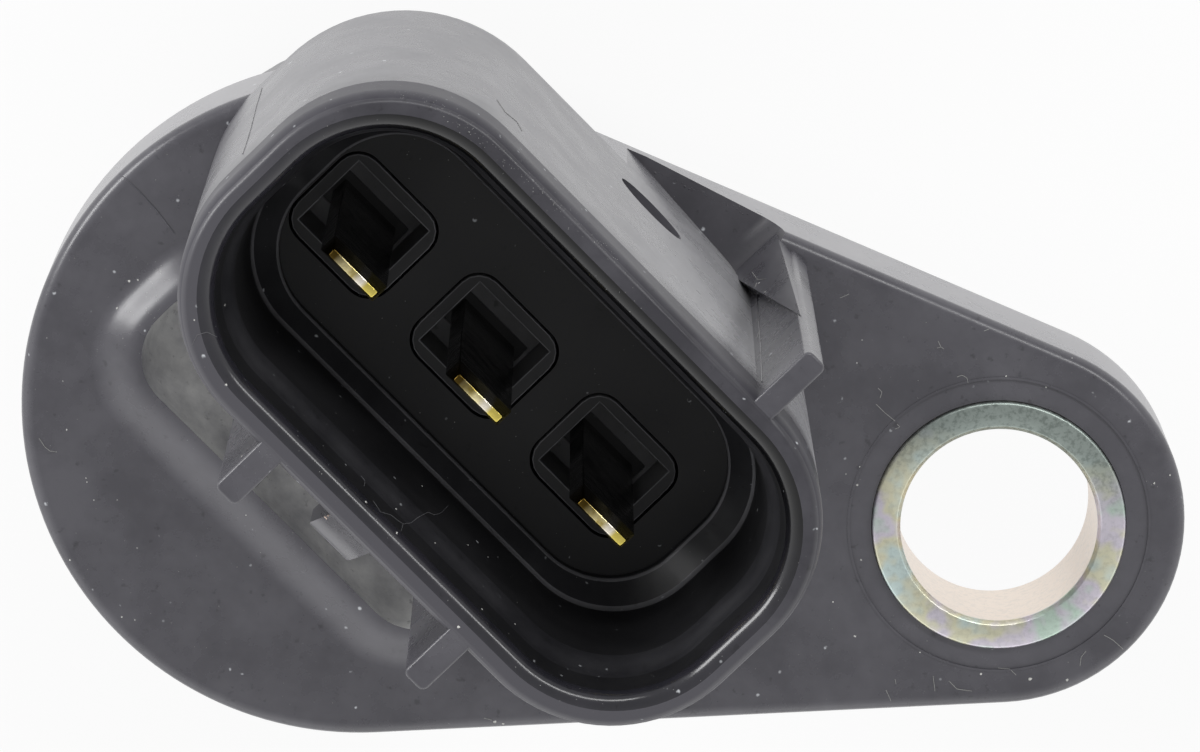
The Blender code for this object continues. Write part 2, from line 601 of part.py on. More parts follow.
def build_ring():
    middle = GROOVE_R + GAP + RING_D / 2
    section = [(middle + RING_D / 2 * math.cos(a), GROOVE_Z + RING_D / 2 * math.sin(a))
               for a in (2 * math.pi * i / 12 for i in range(12))]
    return new_object("o_ring", turned(section, 56))


def build_sleeve():
    inner, outer = SLEEVE_ID / 2, SLEEVE_OD / 2
    low, high = SEAT_Z, TOP_Z + SLEEVE_PROUD
    soft = SLEEVE_SOFT
    profile = [(inner, low + SLEEVE_CHAMFER), (inner + SLEEVE_CHAMFER, low), (outer - soft, low),
               (outer, low + soft), (outer, high - soft), (outer - soft, high),
               (inner + SLEEVE_CHAMFER, high), (inner, high - SLEEVE_CHAMFER)]
    obj = new_object("mounting_sleeve", turned(profile, 48))
    obj.location = (BARREL_TO_BOLT, 0, 0)
    return obj


def build_chip(index):
    """Suppression capacitor lying across two neighbouring legs."""
    length, depth, height = CHIP_SIZE
    u = AXIS_U + (index - 0.5) * STRIP_PITCH
    v = LEG_V[1] + GAP
    z = CHIP_Z[index]
    bm = block((u - length / 2, v, z), (u + length / 2, v + depth, z + height))
    bmesh.ops.bevel(bm, geom=list(bm.edges), offset=CHIP_BREAK, segments=1, profile=0.5, affect="EDGES",
                    material=-1)
    return new_object("capacitor_%d" % (index + 1), bm, TO_WORLD, smooth=False)


def build_circuit():
    """Moulded package with drafted sides."""
    rings = []
    for inset, z in ((IC_DRAFT, IC_Z), (0, IC_Z + IC_T / 2), (IC_DRAFT, IC_Z + IC_T)):
        a, b = IC_L / 2 - inset, IC_W / 2 - inset
        rings.append([(AXIS_U - a, AXIS_V - b, z), (AXIS_U + a, AXIS_V - b, z),
                      (AXIS_U + a, AXIS_V + b, z), (AXIS_U - a, AXIS_V + b, z)])
    return new_object("hall_circuit", loft(rings), TO_WORLD, smooth=False)


def main():
    clear_scene()
    black = material("glass_filled_polymer", (0.035, 0.035, 0.042), 0.42)
    carrier_black = material("carrier_polymer", (0.025, 0.025, 0.028), 0.50)
    zinc = material("passivated_zinc_steel", (0.62, 0.62, 0.56), 0.34, 1.0)
    gold = material("gold_plated_bronze", (0.90, 0.78, 0.42), 0.25, 1.0)
    rubber = material("sealing_rubber", (0.02, 0.02, 0.02), 0.60)
    epoxy = material("circuit_epoxy", (0.03, 0.03, 0.03), 0.45)
    tin = material("tinned_copper", (0.75, 0.75, 0.74), 0.30, 1.0)
    iron = material("soft_iron", (0.50, 0.50, 0.49), 0.40, 1.0)
    magnet = material("sintered_magnet", (0.35, 0.36, 0.38), 0.35, 1.0)
    ceramic = material("capacitor_ceramic", (0.45, 0.33, 0.22), 0.55)

    build_housing().data.materials.append(black)
    build_carrier().data.materials.append(carrier_black)
    build_sleeve().data.materials.append(zinc)
    build_cap().data.materials.append(black)
    build_ring().data.materials.append(rubber)
    build_circuit().data.materials.append(epoxy)
    plate = new_object("flux_plate", disc(PLATE_R, FLUX_Z, FLUX_Z + PLATE_T, 40))
    plate.data.materials.append(iron)
    back = new_object("back_magnet", disc(MAGNET_R, MAGNET_Z, MAGNET_Z + MAGNET_H, 40, MAGNET_CHAMFER))
    back.data.materials.append(magnet)
    for index in range(3):
        build_terminal(index).data.materials.append(gold)
        build_lead(index).data.materials.append(tin)
    for index in range(2):
        build_chip(index).data.materials.append(ceramic)


main()
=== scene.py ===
# %% [markdown]
# # A crankshaft position sensor
#
# A black moulded speed sensor bolts to the engine block by one ear. A steel sleeve in the ear takes
# the bolt, and a barrel with an O-ring goes into the block. On top stands an oval connector with three
# gold-coloured blades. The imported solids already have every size, so nothing here has to be fitted: the
# pieces that show are modelled once more with finer curves and soft edges, and each gets its finish.

import math
import random

import bmesh
import bpy
from mathutils import Matrix, Vector, noise as smooth_noise
from mathutils.bvhtree import BVHTree


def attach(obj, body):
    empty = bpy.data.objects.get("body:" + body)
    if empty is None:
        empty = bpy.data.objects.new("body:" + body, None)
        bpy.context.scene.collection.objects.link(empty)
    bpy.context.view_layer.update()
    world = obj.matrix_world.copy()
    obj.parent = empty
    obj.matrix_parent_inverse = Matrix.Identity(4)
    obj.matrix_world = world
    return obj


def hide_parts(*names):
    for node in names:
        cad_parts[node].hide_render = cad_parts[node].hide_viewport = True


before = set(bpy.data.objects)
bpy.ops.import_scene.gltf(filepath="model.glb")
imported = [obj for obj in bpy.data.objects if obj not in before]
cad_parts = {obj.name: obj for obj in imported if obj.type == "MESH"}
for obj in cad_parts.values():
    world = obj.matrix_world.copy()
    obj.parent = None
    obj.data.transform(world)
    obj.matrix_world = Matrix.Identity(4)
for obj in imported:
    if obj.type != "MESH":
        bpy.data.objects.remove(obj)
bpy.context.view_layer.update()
MM = 0.001
print("nodes:", ", ".join(sorted(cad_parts)))

# %% [markdown]
# The camera is the one that took the picture of such a part: nearly straight down the connector, about
# 12 degrees off its axis. It was solved from the bolt hole, the flange's outline and the rim, so its
# focal length and place are plain numbers here. The picture it gives is 1200 x 752.

# %% Camera
PHOTO_W, PHOTO_H = 1200, 752
camera_data = bpy.data.cameras.new("camera")
camera_data.lens = 189.107
camera_data.sensor_width = 36
camera_data.clip_start = 0.01
camera = bpy.data.objects.new("camera", camera_data)
camera.location = (-0.93050 * MM, 47.1417 * MM, 232.940 * MM)
camera.rotation_euler = (math.radians(-12.48519), math.radians(-0.15876), math.radians(10.32534))
bpy.context.scene.collection.objects.link(camera)
bpy.context.scene.camera = camera
print("camera %.0f mm above the sensing face" % (camera.location.z / MM))

# %% [markdown]
# The sensor's own measures, in metres. The connector has its own frame, turned 35.5 degrees: U runs
# along the row of blades and V across it. Everything in the connector is drawn in U and V and then
# laid into the world by one matrix.

# %% Measures
BOLT_X = 21.80 * MM
HEAD_R, EAR_R = 11.20 * MM, 6.25 * MM
SEAT_Z, TOP_Z, RIM_Z = 24.0 * MM, 28.2 * MM, 44.2 * MM
TO_WORLD = Matrix.Translation((4.31 * MM, 4.35 * MM, 0)) @ Matrix.Rotation(math.radians(-35.5), 4, "Z")
TO_CONNECTOR = TO_WORLD.inverted()
TINY = 0.001 * MM
SMOOTH_BELOW = math.radians(35)

# %% [markdown]
# Small helpers. A mesh is always finished the same way: its place goes into its vertices and its normals
# are made to face outwards. Under smooth shading, edges sharper than 35 degrees stay sharp, and weighted
# normals keep large flat faces flat beside their soft edges.

# %% Helpers for meshes
def finish_mesh(name, bm, matrix=None):
    bmesh.ops.remove_doubles(bm, verts=bm.verts, dist=TINY)
    bmesh.ops.recalc_face_normals(bm, faces=bm.faces)
    mesh = bpy.data.meshes.new(name)
    bm.to_mesh(mesh)
    bm.free()
    if matrix is not None:
        mesh.transform(matrix)
    obj = bpy.data.objects.new(name, mesh)
    bpy.context.scene.collection.objects.link(obj)
    return obj


def dress(obj, slot, finishes, *nodes):
    """Gives a piece its finishes and hides the CAD nodes that it stands for; its slot is not used."""
    obj.data.shade_smooth()
    obj.data.set_sharp_from_angle(angle=SMOOTH_BELOW)
    obj.modifiers.new("weighted", "WEIGHTED_NORMAL").keep_sharp = True
    for finish in finishes:
        obj.data.materials.append(finish)
    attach(obj, "root")
    if nodes:
        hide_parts(*nodes)
    print("%s: %d faces, stands for %s" % (obj.name, len(obj.data.polygons), ", ".join(nodes) or "nothing"))
    return obj


def join_or_cut(body, other, operation):
    """Joins the other solid to the body, or cuts it out, and throws the other away."""
    modifier = body.modifiers.new("step", "BOOLEAN")
    modifier.operation, modifier.solver, modifier.object = operation, "EXACT", other
    depsgraph = bpy.context.evaluated_depsgraph_get()
    mesh = bpy.data.meshes.new_from_object(body.evaluated_get(depsgraph))
    old = body.data
    body.modifiers.clear()
    body.data = mesh
    bpy.data.meshes.remove(old)
    bpy.data.objects.remove(other)
    return body


def join(body, bm, matrix=TO_WORLD):
    return join_or_cut(body, finish_mesh("part", bm, matrix), "UNION")


def cut(body, bm, matrix=TO_WORLD):
    return join_or_cut(body, finish_mesh("part", bm, matrix), "DIFFERENCE")


def edges_at(bm, z):
    return [e for e in bm.edges if all(abs(v.co.z - z) < TINY for v in e.verts)]


def bevel(bm, edges, width, segments):
    bmesh.ops.bevel(bm, geom=edges, offset=width, segments=segments, profile=0.5, affect="EDGES", material=-1)

# %% [markdown]
# A moulding is mostly rounded boxes that change size as they rise. Such a form starts as a cube with
# bevelled upright edges. Its top face is then inset and moved again and again, each time to the next
# outline, whose size and corner radius are both given. The shroud, its hollow, the pad, the trough and
# the towers' openings are all made this way.

# %% Rounded columns
def rounded_column(low, high, radius=0.0, segments=12):
    """A block between two corners whose four upright edges are rounded."""
    bm = bmesh.new()
    bmesh.ops.create_cube(bm, size=1)
    bmesh.ops.scale(bm, vec=Vector(high) - Vector(low), verts=bm.verts)
    bmesh.ops.translate(bm, vec=(Vector(high) + Vector(low)) / 2, verts=bm.verts)
    if radius:
        upright = [e for e in bm.edges if abs(e.verts[0].co.z - e.verts[1].co.z) > TINY]
        bevel(bm, upright, radius, segments)
    return bm


def end_face(bm, up=True):
    return max(bm.faces, key=lambda f: f.calc_center_median().z * (1 if up else -1))


def next_outline(bm, face, low, high, corner, z):
    """Adds a ring of walls that leads from the face to a rounded outline of a new size at a new height."""
    bmesh.ops.inset_region(bm, faces=[face], thickness=0.03 * MM, use_even_offset=True)
    us, vs = [v.co.x for v in face.verts], [v.co.y for v in face.verts]
    old_low, old_high = (min(us), min(vs)), (max(us), max(vs))
    old_corner = old_high[0] - max(v.co.x for v in face.verts if v.co.y > old_high[1] - TINY)
    for vert in face.verts:
        for axis in (0, 1):
            upper = vert.co[axis] > (old_low[axis] + old_high[axis]) / 2
            old_end, new_end = (old_high[axis], high[axis]) if upper else (old_low[axis], low[axis])
            vert.co[axis] = new_end + (vert.co[axis] - old_end) * corner / old_corner
        vert.co.z = z


def centred_outline(bm, face, half_u, half_v, corner, z):
    next_outline(bm, face, (-half_u, -half_v), (half_u, half_v), corner, z)

# %% [markdown]
# The flange is a plate whose outline is two arcs joined by their common tangents: a large one round the
# barrel and a small one round the bolt. One vertex spun about each centre draws each arc exactly.

# %% Flange
def flange_plate():
    bm = bmesh.new()
    tangent = math.acos((HEAD_R - EAR_R) / BOLT_X)
    ends = []
    for x, radius, start, sweep, steps in ((0, HEAD_R, tangent, 2 * math.pi - 2 * tangent, 96),
                                           (BOLT_X, EAR_R, -tangent, 2 * tangent, 40)):
        first = bm.verts.new((x + radius * math.cos(start), radius * math.sin(start), SEAT_Z))
        spun = bmesh.ops.spin(bm, geom=[first], cent=(x, 0, 0), axis=(0, 0, 1), angle=sweep, steps=steps)
        ends.append((first, [g for g in spun["geom_last"] if isinstance(g, bmesh.types.BMVert)][0]))
    bm.edges.new((ends[0][1], ends[1][0]))
    bm.edges.new((ends[1][1], ends[0][0]))
    plate = bmesh.ops.contextual_create(bm, geom=bm.edges[:])["faces"]
    raised = bmesh.ops.extrude_face_region(bm, geom=plate)["geom"]
    top = [g for g in raised if isinstance(g, bmesh.types.BMVert)]
    bmesh.ops.translate(bm, vec=(0, 0, TOP_Z - SEAT_Z), verts=top)
    bevel(bm, edges_at(bm, TOP_Z), 0.45 * MM, 5)
    bevel(bm, edges_at(bm, SEAT_Z), 0.20 * MM, 2)
    return bm

housing = finish_mesh("housing", flange_plate())
print("flange: %d faces" % len(housing.data.polygons))

# %% [markdown]
# Beside the latch the moulding has a soft raised pad with a trough sunk into it, which gives a finger
# room to press the latch. The pad's flank is an S-curve, the trough's a quarter round, and they meet in a
# crisp edge. On the far side a scoop in the flange's edge leaves room for the plug.

# %% Pad, trough and scoop
PAD_OUT = ((-9.40 * MM, -12.10 * MM), (7.40 * MM, -4.20 * MM))
PAD_IN = ((-7.95 * MM, -10.30 * MM), (6.20 * MM, -5.60 * MM))
PAD_H, PAD_CORNER = 0.80 * MM, 3.20 * MM
TROUGH_D, TROUGH_SWEEP, TROUGH_CORNER = 1.60 * MM, 1.55 * MM, 1.90 * MM
TROUGH_BACK_V = -5.90 * MM
TROUGH_FOOT = TOP_Z - TROUGH_D - 0.4 * MM


def pad():
    bm = rounded_column((*PAD_OUT[0], TOP_Z - MM), (*PAD_OUT[1], TOP_Z), PAD_CORNER)
    face = end_face(bm)
    steps = 14
    for step in range(1, steps + 1):
        share = step / steps
        low, high = (tuple(a + (b - a) * share for a, b in zip(PAD_OUT[i], PAD_IN[i])) for i in (0, 1))
        next_outline(bm, face, low, high, PAD_CORNER + (TROUGH_CORNER - PAD_CORNER) * share,
                     TOP_Z + PAD_H * (1 - math.cos(math.pi * share)) / 2)
    return bm


def trough():
    edge = 0.03 * MM
    low, high = (PAD_IN[0][0] + edge, PAD_IN[0][1] + edge), (PAD_IN[1][0] - edge, TROUGH_BACK_V)
    bm = rounded_column((*low, TOP_Z + PAD_H), (*high, TOP_Z + PAD_H + MM), TROUGH_CORNER)
    face = end_face(bm, up=False)
    for step in range(1, 13):
        angle = step * math.pi / 24
        inward = TROUGH_SWEEP * (1 - math.cos(angle))
        aside = inward * 0.35
        next_outline(bm, face, (low[0] + aside, low[1] + inward), (high[0] - aside, high[1]),
                     TROUGH_CORNER - aside, TOP_Z + PAD_H - (PAD_H + TROUGH_D) * math.sin(angle))
    return bm


def scoop():
    """A side profile in U and height, in mm, with a rounded foot, extruded outwards from the shroud's wall."""
    bm = bmesh.new()
    corners = ((4.967, 1.0), (4.38, -1.20), (0.0, -3.30), (-11.2, -3.30), (-11.2, 1.0))
    verts = [bm.verts.new((u * MM, 6.20 * MM, TOP_Z + z * MM)) for u, z in corners]
    bm.faces.new(verts)
    bmesh.ops.bevel(bm, geom=[verts[1]], offset=0.6 * MM, segments=8, profile=0.5, affect="VERTICES", material=-1)
    raised = bmesh.ops.extrude_face_region(bm, geom=bm.faces[:])["geom"]
    outer = [g for g in raised if isinstance(g, bmesh.types.BMVert)]
    bmesh.ops.translate(bm, vec=(0, 5 * MM, 0), verts=outer)
    return bm


join(housing, pad())
cut(housing, trough())
cut(housing, scoop())
print("flange with pad, trough and scoop: %d faces" % len(housing.data.polygons))

# %% [markdown]
# The shroud is the oval wall round the blades, with draft so that it leaves its mould. Its outside rises
# in one straight flank to the band below the rim, and a quarter round of nine small steps turns the flank
# into the flat rim. A bevel of the finished wall would be shorter to write, but it would round the foot and
# the inner edge alike.

# %% Shroud
ROOT_U, ROOT_V, ROOT_R = 11.05 * MM, 6.25 * MM, 5.50 * MM
SHROUD_U, SHROUD_V, SHROUD_R = 10.97 * MM, 6.08 * MM, 4.99 * MM
RIM_ROUND, RIM_INSET, BAND_DEPTH = 0.8 * MM, 0.35 * MM, 2.3 * MM


def shroud():
    foot_z = TOP_Z - 0.25 * MM
    bm = rounded_column((-ROOT_U, -ROOT_V, foot_z), (ROOT_U, ROOT_V, TOP_Z), ROOT_R, 20)
    bevel(bm, edges_at(bm, foot_z), 0.2 * MM, 2)
    face = end_face(bm)
    centred_outline(bm, face, SHROUD_U, SHROUD_V, SHROUD_R, RIM_Z - BAND_DEPTH)
    for step in range(9):
        angle = step * math.pi / 16
        inward = RIM_INSET * (1 - math.cos(angle))
        centred_outline(bm, face, SHROUD_U - inward, SHROUD_V - inward, SHROUD_R - inward,
                        RIM_Z - RIM_ROUND * (1 - math.sin(angle)))
    return bm


def skirt():
    """The shroud's near wall runs on down to the trough's floor."""
    bm = rounded_column((-ROOT_U, -ROOT_V, TROUGH_FOOT), (ROOT_U, ROOT_V, TOP_Z + 0.4 * MM), ROOT_R, 20)
    beyond = 0.4 * MM
    for point, normal in (((0, -0.25 * MM, 0), (0, 1, 0)), ((PAD_IN[1][0] + beyond, 0, 0), (1, 0, 0)),
                          ((PAD_IN[0][0] - beyond, 0, 0), (-1, 0, 0))):
        sliced = bmesh.ops.bisect_plane(bm, geom=bm.verts[:] + bm.edges[:] + bm.faces[:], plane_co=point,
                                        plane_no=normal, clear_outer=True)["geom_cut"]
        bmesh.ops.edgeloop_fill(bm, edges=[g for g in sliced if isinstance(g, bmesh.types.BMEdge)])
    return bm


join(housing, skirt())
join(housing, shroud())
print("housing with shroud: %d faces" % len(housing.data.polygons))

# %% [markdown]
# The connector's room is one more column of outlines, sunk from the rim: the rounded lip of the mouth, a
# shoulder that centres the plug, a long drafted wall, and a sloping ledge round the floor. It is cut out
# last, so that the ribs' inner ends go with it.

# %% Hollow of the connector
MOUTH_U, MOUTH_V, MOUTH_R, LIP_R = 10.42 * MM, 5.41 * MM, 4.44 * MM, 0.52 * MM
# Half length, half width, corner radius and height over the flange, in mm, downwards
SHOULDER = ((9.76, 4.75, 3.78, 14.50), (9.74, 4.73, 3.78, 14.20), (9.69, 4.66, 3.77, 14.00),
            (9.62, 4.58, 3.72, 13.84), (9.56, 4.51, 3.67, 13.68), (9.51, 4.46, 3.63, 13.48),
            (9.48, 4.42, 3.60, 13.10))
LEDGE = ((9.24, 4.17, 3.37, 8.60), (9.20, 4.13, 3.33, 8.40), (9.14, 4.08, 3.28, 8.32), (8.44, 3.56, 2.86, 7.86),
         (8.36, 3.50, 2.79, 7.78), (8.35, 3.49, 2.78, 7.68), (8.35, 3.49, 2.78, 7.30))


def hollow():
    bm = rounded_column((-MOUTH_U, -MOUTH_V, RIM_Z), (MOUTH_U, MOUTH_V, RIM_Z + MM), MOUTH_R, 20)
    face = end_face(bm, up=False)
    for step in range(1, 13):
        angle = step * math.pi / 24
        inward = LIP_R * math.sin(angle)
        centred_outline(bm, face, MOUTH_U - inward, MOUTH_V - inward, MOUTH_R - inward,
                        RIM_Z - LIP_R * (1 - math.cos(angle)))
    for half_u, half_v, corner, height in SHOULDER + LEDGE:
        centred_outline(bm, face, half_u * MM, half_v * MM, corner * MM, TOP_Z + height * MM)
    return bm


print("hollow: %d outlines below the lip" % len(SHOULDER + LEDGE))

# %% [markdown]
# Ribs on the shroud guide the plug, and the latch nose holds it. They are small columns that run a little
# into the wall, so that a boolean union welds them on. A gusset stiffens the far rib's foot, and a shallow
# dimple in the far wall is the mark of the mould's gate.

# %% Guide ribs, latch nose and dimple
def rib(low_u, high_u, low_v, high_v, foot_z):
    """An upright bar with rounded edges: its reach in U and V in mm, and the height of its foot."""
    top_z = RIM_Z - 0.05 * MM
    bm = rounded_column((low_u * MM, low_v * MM, foot_z), (high_u * MM, high_v * MM, top_z), 0.22 * MM, 4)
    bevel(bm, edges_at(bm, top_z), 0.10 * MM, 3)
    return bm


def latch_nose():
    """A wedge: a cube whose outer upper edge is drawn down."""
    bm = rounded_column((-1.12 * MM, -7.45 * MM, TOP_Z + 10.4 * MM), (0.62 * MM, -5.48 * MM, TOP_Z + 15.4 * MM))
    for vert in bm.verts:
        if vert.co.z > TOP_Z + 15 * MM and vert.co.y < -7 * MM:
            vert.co.z = TOP_Z + 12.0 * MM
    bevel(bm, [e for e in bm.edges if all(v.co.y < -7 * MM for v in e.verts)], 0.12 * MM, 3)
    return bm


def gusset():
    """A web in the corner between the far rib and the flange, the hull of its six corners."""
    foot, top = TOP_Z - 1.6 * MM, TOP_Z + 10.5 * MM
    bm = bmesh.new()
    corners = ((4.46, 8.10, foot), (5.20, 8.10, foot), (5.20, 5.85, foot), (4.46, 5.85, foot),
               (5.20, 8.10, top), (5.10, 8.10, top))
    bmesh.ops.convex_hull(bm, input=[bm.verts.new((u * MM, v * MM, z)) for u, v, z in corners])
    return bm


def disc(radius, low, high, segments, matrix):
    """A round block between two heights, laid in its place by a matrix."""
    bm = bmesh.new()
    middle = Matrix.Translation((0, 0, (low + high) / 2))
    bmesh.ops.create_cone(bm, cap_ends=True, segments=segments, radius1=radius, radius2=radius,
                          depth=high - low, matrix=matrix @ middle)
    return bm


RIBS = ((-4.55, -3.65, -7.92, -5.48, TROUGH_FOOT), (3.72, 4.62, -7.92, -5.48, TROUGH_FOOT),
        (5.10, 5.92, 5.48, 8.20, TOP_Z - MM))
for measures in RIBS:
    join(housing, rib(*measures))
join(housing, latch_nose())
join(housing, gusset())
cut(housing, hollow())
dimple_place = (Matrix.Translation((0.42 * MM, 6.21 * MM, TOP_Z + 3.4 * MM))
                @ Matrix.Diagonal((1, 1, 0.68, 1)) @ Matrix.Rotation(-math.pi / 2, 4, "X"))
cut(housing, disc(1.38 * MM, -0.25 * MM, MM, 48, dimple_place))
print("housing with ribs: %d faces" % len(housing.data.polygons))

# %% [markdown]
# The barrel is turned from one outline: a spigot for the cap, the nose, a lead-in cone and the O-ring's
# groove. The ear gets a fine bead and a shallow ring round the sleeve's hole. The towers of the terminal
# carrier come up through three openings in the connector's floor.

# %% Barrel and openings
def turned(profile, steps=96, centre=0.0):
    """Spins a closed outline of radius and height, in mm, about an upright axis."""
    bm = bmesh.new()
    verts = [bm.verts.new((centre + r * MM, 0, z * MM)) for r, z in profile]
    edges = [bm.edges.new((a, b)) for a, b in zip(verts, verts[1:] + verts[:1])]
    bmesh.ops.spin(bm, geom=verts + edges, cent=(centre, 0, 0), axis=(0, 0, 1), angle=2 * math.pi, steps=steps,
                   use_merge=True)
    return bm


barrel = turned([(6.10, 1.10), (6.65, 1.10), (6.95, 1.40), (6.95, 6.80), (7.90, 6.80), (8.0, 6.90), (8.0, 11.50),
                 (8.95, 13.20), (8.95, 18.90), (8.85, 19.0), (7.4, 19.0), (7.4, 21.6), (8.85, 21.6),
                 (8.95, 21.70), (8.95, 24.8), (6.10, 24.8)])
join(housing, barrel, None)
ear = Matrix.Translation((BOLT_X, 0, 0))
RING_R, RING_D = 5.00 * MM, 0.05 * MM
join(housing, disc(RING_R + 0.08 * MM, TOP_Z - 0.5 * MM, TOP_Z + 0.02 * MM, 96, ear), None)
cut(housing, disc(RING_R, TOP_Z - RING_D, TOP_Z + MM, 96, ear), None)
cut(housing, disc(4.27 * MM, SEAT_Z - MM, TOP_Z + 2 * MM, 128, ear), None)
BLADES_U, ROW_V = (-6.17 * MM, -0.67 * MM, 4.83 * MM), -0.25 * MM
TOWER_U, TOWER_V = 2.08 * MM, 1.83 * MM
for u in BLADES_U:
    cut(housing, rounded_column((u - TOWER_U, ROW_V - TOWER_V, TOP_Z + 4.4 * MM),
                                (u + TOWER_U, ROW_V + TOWER_V, TOP_Z + 8 * MM), 0.88 * MM, 8))
print("housing complete: %d faces" % len(housing.data.polygons))

# %% [markdown]
# The compression sleeve is a cut length of tube, chamfered in its bore and just broken at its outer edge.
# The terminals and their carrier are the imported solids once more: their loose triangles are joined to
# faces again, and every crisp edge gets the small radius that a stamping or a moulding has.

# %% Sleeve, terminals and carrier
def softened_copy(node, width):
    """A CAD node's mesh with its faces joined again and its crisp edges rounded."""
    bm = bmesh.new()
    bm.from_mesh(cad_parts[node].data)
    bmesh.ops.remove_doubles(bm, verts=bm.verts, dist=TINY)
    bmesh.ops.dissolve_limit(bm, angle_limit=math.radians(1), verts=bm.verts, edges=bm.edges)
    crisp = [e for e in bm.edges if len(e.link_faces) == 2 and e.calc_face_angle(0.0) > SMOOTH_BELOW]
    bevel(bm, crisp, width, 2)
    return finish_mesh(node + "_soft", bm)


sleeve = finish_mesh("sleeve", turned([(3.30, 24.15), (3.45, 24.0), (4.15, 24.0), (4.25, 24.10), (4.25, 28.24),
                                       (4.23, 28.29), (4.20, 28.33), (4.15, 28.35), (3.46, 28.35), (3.43, 28.34),
                                       (3.41, 28.32), (3.32, 28.23), (3.30, 28.20)], 160, BOLT_X))
carrier = softened_copy("terminal_carrier", 0.04 * MM)
terminals = [softened_copy("terminal_%d" % number, 0.05 * MM) for number in (1, 2, 3)]
print("sleeve: %d faces, carrier: %d faces" % (len(sleeve.data.polygons), len(carrier.data.polygons)))

# %% [markdown]
# A finish is a small tree of nodes that starts at the place on the piece, in Object coordinates, so that a
# pattern has its real size. Colours are written as hex codes and turned to linear light here. One function
# adds every node: an input takes a number, a colour, a socket or a whole node, whose first output in use is
# meant.

# %% Colours and nodes
def srgb(code):
    """The linear colour of a hex code."""
    channels = [int(code[i:i + 2], 16) / 255 for i in (1, 3, 5)]
    return [c / 12.92 if c <= 0.04045 else ((c + 0.055) / 1.055) ** 2.4 for c in channels] + [1]


def dark_of(code, share=0.45):
    """A darker hex code of the same tint."""
    return "#" + "".join("%02x" % round(int(code[i:i + 2], 16) * (1 - share)) for i in (1, 3, 5))


def pattern_scale(size_mm):
    """The scale at which a pattern's main blobs are about as large as the given size."""
    return 1000.0 / size_mm


def set_inputs(tree, node, inputs):
    """Sets or links each input, by name or number."""
    for key, value in inputs.items():
        if isinstance(value, bpy.types.Node):
            value = next(output for output in value.outputs if output.enabled)
        if isinstance(value, bpy.types.NodeSocket):
            tree.links.new(value, node.inputs[key])
        else:
            node.inputs[key].default_value = srgb(value) if isinstance(value, str) else value


def add_node(tree, kind, inputs=None, **options):
    """One node with its options, such as an operation, and its inputs."""
    node = tree.nodes.new("ShaderNode" + kind)
    for key, value in options.items():
        setattr(node, key, value)
    set_inputs(tree, node, inputs or {})
    return node


def new_material(name):
    """An empty material with its shader, and the place on the piece as a socket."""
    material = bpy.data.materials.new(name)
    material.use_nodes = True
    tree = material.node_tree
    tree.nodes.clear()
    shader = add_node(tree, "BsdfPrincipled")
    add_node(tree, "OutputMaterial", {"Surface": shader})
    return material, tree, shader, add_node(tree, "TexCoord").outputs["Object"]


print("the darker tint of #a4a4a2 is", dark_of("#a4a4a2"))

# %% [markdown]
# The housing is glass-filled PBT from a spark-eroded steel mould. That gives the eye a satin black with a
# very fine grain, a gloss that changes in clouds where glass lies near the skin, dark pits, and white
# specks of dust in some places. Some looks also get painted light or painted shade on some sides: a second
# tone that comes in along a direction, with a ragged edge of noise.

# %% Moulded polymer
RAGGED = 0.6 * MM


